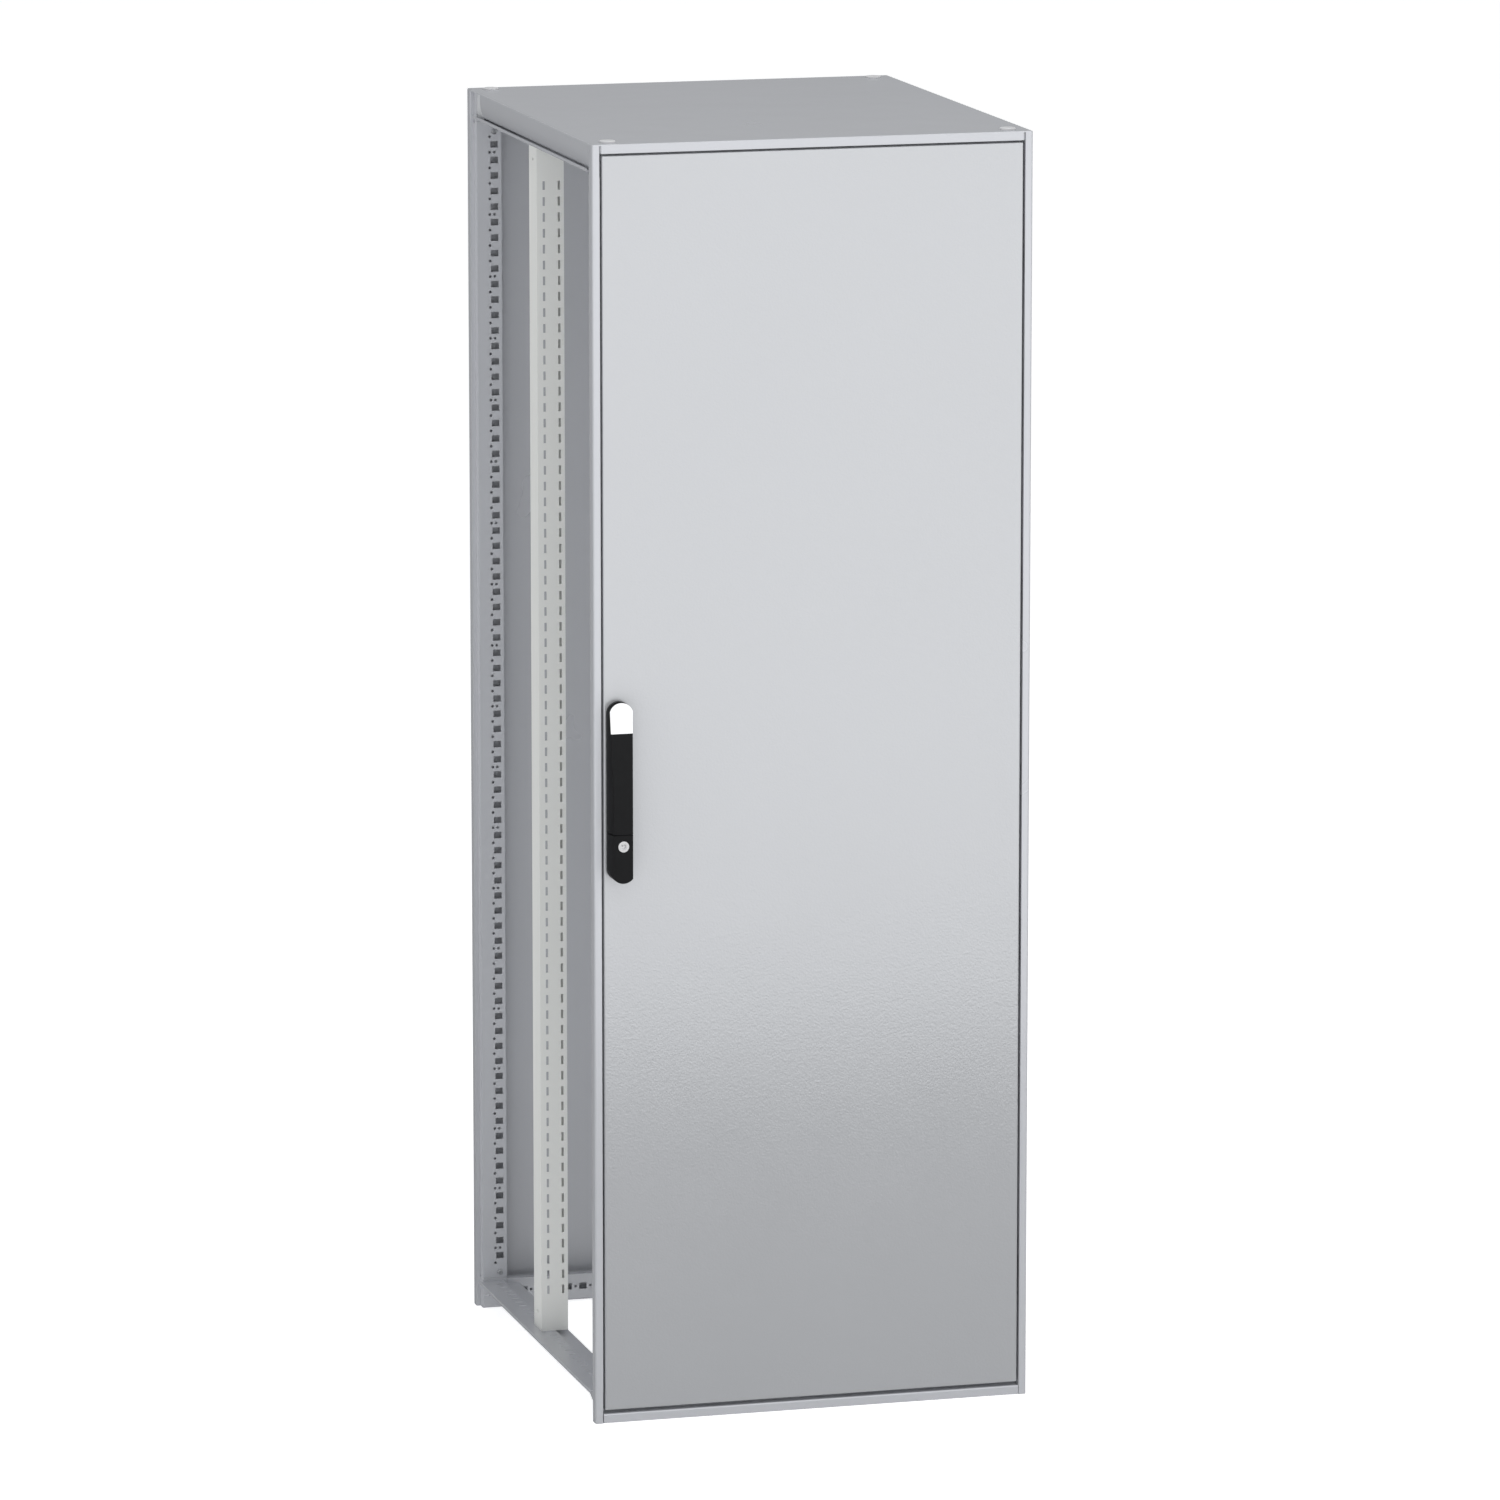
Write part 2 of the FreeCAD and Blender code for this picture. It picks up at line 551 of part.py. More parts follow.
roof_flat = block("roof_flat", (LEFT, "dim.cab_width / 2"), (FRONT, REAR),
                  (f"{ROOF} - dim.roof_sheet", ROOF))
roof_soft = round_edges("roof_soft", roof_flat, 1.2,
                        lambda edge: edge.BoundBox.ZMin > size["cab_height"] - 0.01)
strip_front = block("strip_front", RIM_X, (FRONT, f"{FRONT} + dim.roof_sheet"),
                    (strip_low, f"{ROOF} - dim.roof_sheet"))
skirt = make_skirt()
CORNERS = [(sx, sy) for sy in (-1, 1) for sx in (-1, 1)]
roof_holes = []
roof_screws = []
caps = []
for i, (sx, sy) in enumerate(CORNERS):
    spot = (f"{sx} * (dim.cab_width / 2 - dim.fixing_in)", f"{sy} * (dim.cab_depth / 2 - {FIXING_BACK})")
    roof_holes.append(drum(f"roof_hole_{i}", "z", *spot, f"{ROOF} - 5", "dim.roof_hole", "10"))
    roof_screws.append(fuse(f"roof_screw_{i}",
                            drum(f"roof_shank_{i}", "z", *spot, f"{ROOF} - 22", "dim.fixing_radius", "22"),
                            drum(f"roof_head_{i}", "z", *spot, ROOF, "dim.plug_radius - 3", "dim.flat_head")))
    cap = drum(f"cap_{i}", "z", *spot, ROOF, "dim.plug_radius", "dim.plug_head")
    caps.append(cut(f"cap_shell_{i}",
                    round_edges(f"cap_soft_{i}", cap, 1.0,
                                lambda edge: edge.BoundBox.ZMin > size["cab_height"] + 1),
                    drum(f"cap_room_{i}", "z", *spot, f"{ROOF} - 1", "dim.plug_radius - 1.5",
                         "dim.flat_head + 1.3")))
roof_whole = fuse("roof_whole", roof_soft, strip_front, mirror("strip_rear", strip_front, ALONG),
                  skirt, mirror("skirt_right", skirt, ACROSS))
node(cut("roof", roof_whole, *roof_holes), "roof_panel")
node(group("roof_screw_set", *roof_screws), "roof_screws")
node(group("cap_set", *caps), "roof_plugs")


# ---------------------------------------------------------------- rear panel

PANEL_X = (DOOR_LEFT, DOOR_RIGHT)
DOOR_Z = ("dim.door_low", DOOR_TOP)
PANEL_BACK = "(dim.seal_depth - dim.panel_seal)"


def inside(pair, by):
    return (f"{pair[0]} + {by}", f"{pair[1]} - ({by})")


rear_box = round_edges("rear_box", block("rear_outer", PANEL_X, (f"{REAR} - {PANEL_BACK}", REAR), DOOR_Z),
                       size["edge_radius"],
                       lambda edge: edge.BoundBox.YMin > size["cab_depth"] / 2 - 0.01)
rear_tray = cut("rear_tray", rear_box,
                block("rear_hollow", inside(PANEL_X, "dim.wall"),
                      (f"{REAR} - {PANEL_BACK} + dim.wall", f"{REAR} - dim.wall"),
                      inside(DOOR_Z, "dim.wall")),
                block("rear_window", inside(PANEL_X, "dim.panel_flange"),
                      (f"{REAR} - {PANEL_BACK} - 1", f"{REAR} - dim.wall"),
                      inside(DOOR_Z, "dim.panel_flange")))
screw_spots = [(sx, z) for sx in (-1, 1)
               for z in ("dim.corner_height + dim.rear_low", f"{ROOF} - dim.corner_height - dim.rear_high")]
rear_screws = []
rear_taps = []
for i, (sx, z) in enumerate(screw_spots):
    x = f"{sx} * (dim.cab_width / 2 - dim.hole_in)"
    rear_screws.append(screw(f"rear_screw_{i}", "y", True, x, f"{REAR} - dim.body_depth", z,
                             "dim.body_depth - dim.seal_depth + 6"))
    rear_taps.append(drum(f"rear_tap_{i}", "y", x, f"{REAR} - dim.body_depth - 2", z, "dim.screw_radius",
                          "dim.body_depth - 4"))
node(cut("rear", rear_tray, *rear_taps), "rear_panel")
node(group("rear_screw_set", *rear_screws), "rear_panel_screws")


def frame_seal(name, x, y, z, width):
    """A rectangular ring between two planes of Y."""
    return cut(name, block(f"{name}_out", x, y, z),
               block(f"{name}_in", inside(x, width), (f"{y[0]} - 1", f"{y[1]} + 1"), inside(z, width)))


rear_seal = frame_seal("rear_seal", inside(PANEL_X, "2"),
                       (f"{REAR} - dim.seal_depth + dim.play", f"{REAR} - {PANEL_BACK} - dim.play"),
                       inside(DOOR_Z, "2"), "12")
node(rear_seal, "rear_panel_seal")


# ---------------------------------------------------------------- inner uprights

def make_inner_upright():
    """A slotted C-section that stands between the left depth rails."""
    owner = body("inner_section")
    section = sketch_on(owner, "inner_outline", "XY_Plane")
    wide = "dim.inner_width"
    deep = "dim.inner_deep"
    thick = "dim.rail_sheet"
    outline(section, [("0", "0"), (wide, "0"), (wide, deep), (f"{wide} - 10", deep),
                      (f"{wide} - 10", f"{deep} - {thick}"), (f"{wide} - {thick}", f"{deep} - {thick}"),
                      (f"{wide} - {thick}", thick), (thick, thick), (thick, f"{deep} - {thick}"),
                      ("10", f"{deep} - {thick}"), ("10", deep), ("0", deep)])
    length = f"({ROOF} - 2 * dim.rail_plate)"
    pad(owner, section, length)
    for name, column in (("inner_slot_a", "dim.inner_col_a"), ("inner_slot_b", "dim.inner_col_b")):
        slot = sketch_on(owner, name, "XZ_Plane", "0.5")
        rectangle(slot, column, f"({length} - dim.hole_pitch * (dim.inner_slots - 1)) / 2",
                  "dim.slot_width", "dim.inner_slot")
        hole_row(owner, slot, "dim.rail_sheet + 1", "Z_Axis", "dim.hole_pitch", "dim.inner_slots")
    return place(owner, f"{LEFT} + dim.inner_in", f"{FRONT} + dim.inner_back", "dim.rail_plate")


bracket_wall = f"{LEFT} + dim.inner_in + dim.rail_sheet"
bracket_side = (f"{FRONT} + dim.inner_back + dim.inner_deep / 2 - 12",
                f"{FRONT} + dim.inner_back + dim.inner_deep / 2 + 12")
bracket_raw = fuse("bracket_raw",
                   block("bracket_foot", (bracket_wall, f"{bracket_wall} + 22"), bracket_side,
                         ("dim.rail_plate", "dim.rail_plate + dim.bracket_thick")),
                   block("bracket_leaf", (bracket_wall, f"{bracket_wall} + dim.bracket_thick"), bracket_side,
                         ("dim.rail_plate", "dim.rail_plate + 40")))
side_tap = drum("side_tap", "x", f"{LEFT} + dim.inner_in - 1", bracket_spot[1], "dim.rail_plate + 28",
                "dim.screw_radius", "dim.rail_sheet + dim.bracket_thick + 2")
bracket = cut("bracket", bracket_raw, side_tap,
              drum("foot_tap", "z", *bracket_spot, "dim.rail_plate - 1", "dim.screw_radius",
                   "dim.bracket_thick + 2"))
bracket_screws = group("bracket_pair",
                       screw("foot_screw", "z", False, *bracket_spot, "dim.rail_plate + dim.bracket_thick",
                             "dim.bracket_thick + dim.rail_sheet"),
                       screw("side_screw", "x", False, f"{bracket_wall} + dim.bracket_thick", bracket_spot[1],
                             "dim.rail_plate + 28", "dim.bracket_thick + dim.rail_sheet"))
inner_holed = cut("inner_holed", make_inner_upright(), side_tap,
                  mirror("side_tap_top", side_tap, UP, f"{ROOF} / 2"))
inner_left = node(inner_holed, "inner_upright_left")
node(mirror("inner_right", inner_left, ACROSS), "inner_upright_right")


def at_four_ends(name, source):
    """A piece at the foot of the left inner upright, repeated at all four ends."""
    raised = mirror(f"{name}_top", source, UP, f"{ROOF} / 2")
    return group(name, source, raised, mirror(f"{name}_right", source, ACROSS),
                 mirror(f"{name}_right_top", raised, ACROSS))


node(at_four_ends("bracket_set", bracket), "inner_upright_brackets")
node(at_four_ends("bracket_screw_set", bracket_screws), "inner_upright_screws")


# ---------------------------------------------------------------- hinges

HINGE_STEP = f"(({DOOR_TOP} - dim.door_low - 2 * dim.hinge_end) / (dim.hinge_count - 1))"
SEAL_FACE = f"({FRONT} + dim.seal_depth)"
SKIN_BACK = f"({FRONT} + dim.wall)"
hinge_levels = [f"(dim.door_low + dim.hinge_end + {i} * {HINGE_STEP})"
                for i in range(int(size["hinge_count"]))]


def about(middle, whole):
    """The two ends of a length about its middle."""
    return (f"{middle} - {whole} / 2", f"{middle} + {whole} / 2")


frame_blocks = []
frame_screws = []
frame_taps = []
leaves = []
pins = []
studs = []
windows = []
for i, level in enumerate(hinge_levels):
    reach = about(level, "dim.hinge_tall")
    eye = about(level, "dim.eye_tall")
    foot = block(f"foot_{i}", (f"{AXIS_X} - 9", f"{AXIS_X} + 7"), (f"{SEAL_FACE} - 2.5", SEAL_FACE), reach)
    arm = block(f"arm_{i}", (f"{AXIS_X} - 9", f"{AXIS_X} - 1"), (AXIS_Y, SEAL_FACE), eye)
    barrel = drum(f"eye_{i}", "z", AXIS_X, AXIS_Y, eye[0], "dim.eye_radius", "dim.eye_tall")
    cutters = [drum(f"eye_bore_{i}", "z", AXIS_X, AXIS_Y, f"{eye[0]} - 1", "dim.pin_radius + dim.pin_play",
                    "dim.eye_tall + 2")]
    for j, side in enumerate(("-", "+")):
        height = f"{level} {side} 21"
        tap = drum(f"foot_tap_{i}_{j}", "y", f"{AXIS_X} - 2", f"{SEAL_FACE} - 3", height,
                   "dim.screw_radius", "8")
        frame_taps.append(tap)
        cutters.append(tap)
        cutters.append(drum(f"foot_sink_{i}_{j}", "y", f"{AXIS_X} - 2", f"{SEAL_FACE} - 3", height,
                            "dim.head_radius", "0.5 + dim.flat_head"))
        frame_screws.append(screw(f"foot_screw_{i}_{j}", "y", True, f"{AXIS_X} - 2",
                                  f"{SEAL_FACE} - 2.5 + dim.flat_head", height, "5", "dim.flat_head"))
    frame_blocks.append(cut(f"frame_block_{i}", fuse(f"frame_block_raw_{i}", foot, arm, barrel), *cutters))

    knuckle_tall = "(dim.hinge_tall - dim.eye_tall) / 2 - dim.play"
    plate = block(f"leaf_{i}", (f"{AXIS_X} - 10.5", f"{AXIS_X} - 3.5"),
                  (SKIN_BACK, f"{SKIN_BACK} + 2"), reach)
    raw = [plate]
    for j, low in enumerate((reach[0], f"{eye[1]} + dim.play")):
        raw.append(drum(f"knuckle_{i}_{j}", "z", AXIS_X, AXIS_Y, low, "dim.eye_radius", knuckle_tall))
        raw.append(block(f"link_{i}_{j}", (f"{AXIS_X} - 8", AXIS_X), (SKIN_BACK, f"{SKIN_BACK} + 2.5"),
                         (low, f"{low} + {knuckle_tall}")))
    leaf_cuts = [drum(f"leaf_bore_{i}", "z", AXIS_X, AXIS_Y, f"{reach[0]} - 1", "dim.pin_radius",
                      "dim.hinge_tall + 2")]
    for j, side in enumerate(("-", "+")):
        height = f"{level} {side} 21"
        leaf_cuts.append(drum(f"stud_hole_{i}_{j}", "y", f"{AXIS_X} - 8", SKIN_BACK, height, "2", "4"))
        studs.append(fuse(f"stud_{i}_{j}",
                          drum(f"stud_rod_{i}_{j}", "y", f"{AXIS_X} - 8", SKIN_BACK, height, "2", "6.5"),
                          drum(f"stud_nut_{i}_{j}", "y", f"{AXIS_X} - 8", f"{SKIN_BACK} + 2.5", height,
                               "3.2", "2.8")))
    leaves.append(cut(f"door_leaf_{i}", fuse(f"leaf_raw_{i}", *raw), *leaf_cuts))
    pins.append(fuse(f"pin_{i}",
                     drum(f"pin_rod_{i}", "z", AXIS_X, AXIS_Y, reach[0], "dim.pin_radius", "dim.hinge_tall"),
                     drum(f"pin_head_{i}", "z", AXIS_X, AXIS_Y, reach[1], "dim.eye_radius - 0.7", "1.5")))
    windows.append(block(f"window_{i}", (f"{DOOR_RIGHT} - dim.wall - 0.1", f"{DOOR_RIGHT} + 1"),
                         (SKIN_BACK, f"{FRONT} + dim.door_fold + 1"), about(level, "(dim.hinge_tall + 8)")))

node(cut("front_right_tapped", nodes["upright_front_right"], *frame_taps), "upright_front_right")
node(group("frame_block_set", *frame_blocks), "hinge_frame_blocks")
node(group("frame_screw_set", *frame_screws), "hinge_frame_screws")
node(group("leaf_set", *leaves), "hinge_door_leaves")
node(group("pin_set", *pins), "hinge_pins")
node(group("stud_set", *studs), "hinge_studs")


# ---------------------------------------------------------------- door

PINION_Y = f"({FRONT} + dim.rod_back)"
GRIP_BACK = f"({FRONT} - dim.base_thick)"
KEY_Z = "(dim.handle_mid - dim.key_drop)"
HANDLE_LOW = "(dim.handle_mid - dim.handle_length / 2)"
screw_levels = [f"({SPINDLE_Z} - dim.case_tall / 2 - 16)", f"({HANDLE_LOW} + 22)"]

door_box = round_edges("door_box", block("door_outer", PANEL_X, (FRONT, f"{FRONT} + dim.door_fold"), DOOR_Z),
                       size["edge_radius"],
                       lambda edge: edge.BoundBox.YMax < -size["cab_depth"] / 2 + 0.01)
door_taps = [drum(f"door_tap_{i}", "y", HANDLE_X, f"{FRONT} - 7", level, "dim.screw_radius", "9")
             for i, level in enumerate(screw_levels)]
door_shell = cut("door_shell", door_box,
                 block("door_hollow", inside(PANEL_X, "dim.wall"),
                       (SKIN_BACK, f"{FRONT} + dim.door_fold + 1"),
                       inside(DOOR_Z, "dim.wall")),
                 drum("spindle_hole", "y", HANDLE_X, f"{FRONT} - 1", SPINDLE_Z,
                      "dim.spindle_radius + 1", "4"),
                 drum("key_hole", "y", HANDLE_X, f"{FRONT} - 1", KEY_Z, "dim.key_radius + 1", "4"),
                 *door_taps, *windows)
node(door_shell, "door_leaf")

SEAL_X = (f"{DOOR_LEFT} + dim.wall + dim.play", f"{AXIS_X} - 12.5")
SEAL_Z = inside(DOOR_Z, "(dim.wall + dim.play)")
channel = frame_seal("channel", SEAL_X, (SKIN_BACK, f"{FRONT} + dim.door_fold"), SEAL_Z, "dim.seal_width")
channel_room = frame_seal("channel_room", inside(SEAL_X, "1"),
                          (f"{SKIN_BACK} - 1", f"{FRONT} + dim.door_fold - 1"),
                          inside(SEAL_Z, "1"), "(dim.seal_width - 2)")
node(cut("channel_hollow", channel, channel_room), "door_seal_channel")
node(frame_seal("door_seal_ring", inside(SEAL_X, "0.3"),
                (f"{FRONT} + dim.door_fold + 0.01", f"{SEAL_FACE} - dim.play"),
                inside(SEAL_Z, "0.3"), "(dim.seal_width - 0.6)"), "door_seal")

STIFF_X = inside(PANEL_X, "dim.stiff_in")
STIFF_Z = inside(DOOR_Z, "dim.stiff_in")
stiff = frame_seal("stiff", STIFF_X, (SKIN_BACK, f"{SKIN_BACK} + dim.stiff_deep"), STIFF_Z, "dim.stiff_wide")
stiff_room = frame_seal("stiff_room", inside(STIFF_X, "dim.wall"),
                        (f"{SKIN_BACK} - 1", f"{SKIN_BACK} + dim.stiff_deep - dim.wall"),
                        inside(STIFF_Z, "dim.wall"), "(dim.stiff_wide - 2 * dim.wall)")
stiff_holes = []
stiff_count = int((size["cab_height"] - size["door_low"] - size["door_top_gap"]
                   - 2 * (size["stiff_in"] + size["stiff_wide"])) // size["hole_pitch"])
for i in range(stiff_count):
    height = (f"(({DOOR_TOP} + dim.door_low) / 2 + ({i} - ({stiff_count} - 1) / 2) * dim.hole_pitch)")
    for j, edge in enumerate((f"{STIFF_X[0]} + dim.stiff_wide / 2", f"{STIFF_X[1]} - dim.stiff_wide / 2")):
        stiff_holes.append(drum(f"stiff_hole_{i}_{j}", "y", edge, f"{SKIN_BACK} + dim.stiff_deep - 3", height,
                                "dim.round_radius + 0.25", "5"))
node(cut("stiff_hollow", stiff, stiff_room, *stiff_holes), "door_stiffener")


# ---------------------------------------------------------------- handle

def stadium(name, y, radius):
    """The handle's outline seen from the front, between two planes of Y."""
    low = f"{HANDLE_LOW} + dim.handle_width / 2"
    high = f"{HANDLE_TOP} - dim.handle_width / 2"
    return fuse(name, block(f"{name}_mid", about(HANDLE_X, f"(2 * {radius})"), y, (low, high)),
                drum(f"{name}_low", "y", HANDLE_X, y[0], low, radius, f"{y[1]} - ({y[0]})"),
                drum(f"{name}_high", "y", HANDLE_X, y[0], high, radius, f"{y[1]} - ({y[0]})"))


def drawn_in_bar():
    """The handle's section seen from above, straight at first and then drawn in to the front."""
    owner = body("grip_bar")
    section = sketch_on(owner, "grip_outline", "XY_Plane")
    draft = "dim.grip_draft"
    wide = "dim.handle_width"
    outline(section, [(draft, "0"), (f"{wide} - {draft}", "0"), (wide, "dim.grip_depth - dim.shoulder"),
                      (wide, "dim.grip_depth"), ("0", "dim.grip_depth"),
                      ("0", "dim.grip_depth - dim.shoulder")])
    pad(owner, section, "dim.handle_length")
    return place(owner, f"{HANDLE_X} - {wide} / 2", f"{FRONT} - dim.grip_depth", HANDLE_LOW)


def side_body(name, corners):
    """An outline seen from the side, as wide as the handle; y is in front of the door, z below the top."""
    owner = body(name)
    section = sketch_on(owner, f"{name}_outline", "YZ_Plane")
    outline(section, [(f"60 - ({y})", f"300 - ({z})") for y, z in corners])
    pad(owner, section, "dim.handle_width")
    return place(owner, f"{HANDLE_X} - dim.handle_width / 2", f"{FRONT} - 60", f"{HANDLE_TOP} - 300")


bar = drawn_in_bar()
deep_stadium = stadium("deep_stadium", (f"{FRONT} - dim.grip_depth - 1", FRONT), "dim.handle_width / 2")
LEVER_END = "(dim.handle_length - dim.lock_tall)"
housing = common("housing", bar, deep_stadium,
                 block("housing_zone", about(HANDLE_X, "60"), (f"{FRONT} - dim.grip_depth - 1", FRONT),
                       (f"{HANDLE_LOW} - 1", f"{HANDLE_LOW} + dim.lock_tall")))
base_plate = stadium("base_plate", (GRIP_BACK, FRONT), "dim.handle_width / 2")
node(cut("handle_base_cut", fuse("handle_base_raw", base_plate, housing),
         drum("base_bore", "y", HANDLE_X, f"{GRIP_BACK} - 1", SPINDLE_Z,
              "dim.spindle_radius + dim.pin_play", "dim.base_thick + 2"),
         drum("barrel_seat", "y", HANDLE_X, f"{FRONT} - 60", KEY_Z, "dim.key_radius", "61"),
         *door_taps), "handle_base")

LEVER_BACK = "(dim.base_thick + dim.play)"
TILT_SLOPE = "(dim.tilt_drop * tan(24))"
INSERT_LOW = "(dim.grip_top_depth + 4)"
lever_side = side_body("lever_side", [
    (f"({LEVER_BACK} + {TILT_SLOPE})", "0"), ("dim.grip_top_depth", "0"), (INSERT_LOW, "dim.insert_tall"),
    ("dim.grip_depth", "(dim.insert_tall + 90)"), ("dim.grip_depth", LEVER_END), (LEVER_BACK, LEVER_END),
    (LEVER_BACK, "dim.tilt_drop")])
lever_reach = f"({LEVER_END} - dim.spindle_drop - 0.8)"
blank = common("lever_blank", bar, deep_stadium, lever_side,
               drum("lever_sweep", "y", HANDLE_X, f"{FRONT} - 60", SPINDLE_Z, lever_reach, "60"))
insert_zone = side_body("insert_zone", [
    ("dim.grip_top_depth - dim.insert_thick", "-1"), ("40", "-1"), ("40", "dim.insert_tall"),
    (f"({INSERT_LOW} - dim.insert_thick)", "dim.insert_tall")])
TILT_Y = f"({GRIP_BACK} - dim.tilt_out)"
TILT_Z = f"({HANDLE_TOP} - dim.tilt_drop)"
rotor_y = (f"{TILT_Y} - dim.rotor_half", f"{TILT_Y} + dim.rotor_half")
rotor_low = f"({SPINDLE_Z} - 10)"
lever_slot = block("lever_slot", about(HANDLE_X, "12.6"), (f"{rotor_y[0]} - 0.6", FRONT),
                   (f"{rotor_low} - 1.5", f"{TILT_Z} + 6"))
lever_bore = drum("lever_bore", "x", f"{HANDLE_X} - 15.3", TILT_Y, TILT_Z,
                  "dim.tilt_radius + dim.pin_play", "36")
boss_room = drum("boss_room", "y", HANDLE_X, f"{rotor_y[1]} - 1.6", SPINDLE_Z,
                 "dim.spindle_radius + 0.8", "12")
node(cut("lever", blank, insert_zone, lever_slot, boss_room, lever_bore), "handle_lever")
node(common("insert", blank, insert_zone), "handle_insert")

rotor_block = fuse("rotor_block",
                   block("rotor_bar", about(HANDLE_X, "12"), rotor_y, (rotor_low, TILT_Z)),
                   drum("rotor_nose", "x", f"{HANDLE_X} - 6", TILT_Y, TILT_Z, "dim.rotor_half", "12"),
                   drum("rotor_boss", "y", HANDLE_X, f"{TILT_Y} + dim.rotor_half - 1", SPINDLE_Z,
                        "dim.spindle_radius", "dim.base_thick + dim.tilt_out - dim.rotor_half + 1"),
                   drum("rotor_shaft", "y", HANDLE_X, FRONT, SPINDLE_Z, "dim.shaft_radius", "17"))
node(cut("rotor", rotor_block, drum("rotor_bore", "x", f"{HANDLE_X} - 7", TILT_Y, TILT_Z,
                                    "dim.tilt_radius", "14")), "handle_spindle")
node(drum("tilt_pin_rod", "x", f"{HANDLE_X} - 15", TILT_Y, TILT_Z, "dim.tilt_radius", "30"), "tilt_pin")

KEY_FRONT = f"({FRONT} - dim.grip_depth - 0.8)"
barrel_ring = drum("barrel_ring", "y", HANDLE_X, KEY_FRONT, KEY_Z, "dim.key_radius", "30")
node(cut("barrel", barrel_ring,
         drum("barrel_bore", "y", HANDLE_X, f"{KEY_FRONT} - 1", KEY_Z,
              "dim.plug_turn_radius + dim.pin_play", "32")),
     "lock_barrel")
plug_body = drum("plug_body", "y", HANDLE_X, f"{KEY_FRONT} + 0.6", KEY_Z, "dim.plug_turn_radius", "29")
plug_ring = cut("plug_ring",
                drum("plug_ring_out", "y", HANDLE_X, f"{KEY_FRONT} - 1", KEY_Z, "4.2", "8"),
                drum("plug_ring_in", "y", HANDLE_X, f"{KEY_FRONT} - 2", KEY_Z, "1.8", "10"),
                block("plug_bar_left", (f"{HANDLE_X} - 4.3", f"{HANDLE_X} - 1"),
                      (f"{KEY_FRONT} - 2", f"{KEY_FRONT} + 9"),
                      about(KEY_Z, "1.4")))
node(cut("plug_cut", plug_body, plug_ring), "lock_plug")

handle_fixings = []
for i, level in enumerate(screw_levels):
    shank = drum(f"handle_shank_{i}", "y", HANDLE_X, f"{FRONT} - 6.5", level,
                 "dim.screw_radius", "6.5 + dim.wall")
    head = drum(f"handle_head_{i}", "y", HANDLE_X, SKIN_BACK, level, "dim.head_radius", "dim.head_tall")
    handle_fixings.append(fuse(f"handle_fixing_{i}", shank, head))
node(group("handle_screw_set", *handle_fixings), "handle_screws")


# ---------------------------------------------------------------- lock

PITCH = 2 * math.pi * size["pinion_radius"] / size["teeth"]
ADDENDUM = 0.24 * PITCH
DEDENDUM = 0.33 * PITCH
TOOTH_TIP = 0.17 * PITCH
TOOTH_ROOT = 0.52 * PITCH


def handle_point(across, up):
    """A point in the pinion's plane, measured from the spindle."""
    x = -size["cab_width"] / 2 + size["handle_in"] + across
    z = size["handle_mid"] + size["handle_length"] / 2 - size["spindle_drop"] + up
    return FreeCAD.Vector(x, -size["cab_depth"] / 2 + size["rod_back"] - size["rod_deep"] / 2, z)


def make_pinion():
    """A spur gear on the spindle with straight-sided teeth and room in its mesh."""
    count = int(size["teeth"])
    foot = size["pinion_radius"] - DEDENDUM
    crown = size["pinion_radius"] + ADDENDUM
    points = []
    for i in range(count):
        middle = (i + 0.5) * 2 * math.pi / count
        for radius, share in ((foot, -TOOTH_ROOT), (crown, -TOOTH_TIP),
                              (crown, TOOTH_TIP), (foot, TOOTH_ROOT)):
            angle = middle + share / 2 / radius
            points.append(handle_point(radius * math.cos(angle), radius * math.sin(angle)))
    wheel = Part.Face(Part.makePolygon(points + points[:1]))
    wheel = wheel.extrude(FreeCAD.Vector(0, size["rod_deep"] - 2, 0))
    wheel.translate(FreeCAD.Vector(0, 1, 0))
    bore = Part.makeCylinder(size["shaft_radius"], 30, handle_point(0, 0) - FreeCAD.Vector(0, 5, 0),
                             FreeCAD.Vector(0, 1, 0))
    item = doc.addObject("Part::Feature", "pinion")
    item.Shape = wheel.cut(bore)
    return item


def make_rod(name, side):
    """A flat lock rod with a rack at the spindle; side is -1 for the upper rod and 1 for the lower."""
    inner = size["rod_in"] - size["rod_thick"] / 2
    outer = size["rod_in"] + size["rod_thick"] / 2
    root = size["pinion_radius"] + DEDENDUM
    tip = size["pinion_radius"] - ADDENDUM
    spindle = handle_point(0, 0).z
    low_end = size["door_low"] + size["rod_end"] - spindle
    high_end = size["cab_height"] - size["door_top_gap"] - size["rod_end"] - spindle
    start = -3.5 * PITCH * -side
    far = high_end if side < 0 else low_end
    bar = [(inner, start), (outer, start), (outer, far), (inner, far)]
    shape = Part.Face(Part.makePolygon([handle_point(side * a, b) for a, b in bar + bar[:1]]))
    shape = shape.extrude(FreeCAD.Vector(0, size["rod_deep"], 0))
    teeth = []
    for i in range(-3, 7):
        middle = -side * i * PITCH
        flank = [(root + 0.6, middle - TOOTH_ROOT / 2), (root, middle - TOOTH_ROOT / 2),
                 (tip, middle - TOOTH_TIP / 2), (tip, middle + TOOTH_TIP / 2),
                 (root, middle + TOOTH_ROOT / 2), (root + 0.6, middle + TOOTH_ROOT / 2)]
        face = Part.Face(Part.makePolygon([handle_point(side * a, b) for a, b in flank + flank[:1]]))
        teeth.append(face.extrude(FreeCAD.Vector(0, size["rod_deep"], 0)))
    item = doc.addObject("Part::Feature", name)
    item.Shape = shape.multiFuse(teeth).removeSplitter()
    return item


node(make_pinion(), "lock_pinion")
node(make_rod("rod_up", -1), "lock_rod_upper")
node(make_rod("rod_down", 1), "lock_rod_lower")

ROD_Y = about(PINION_Y, "dim.rod_deep")


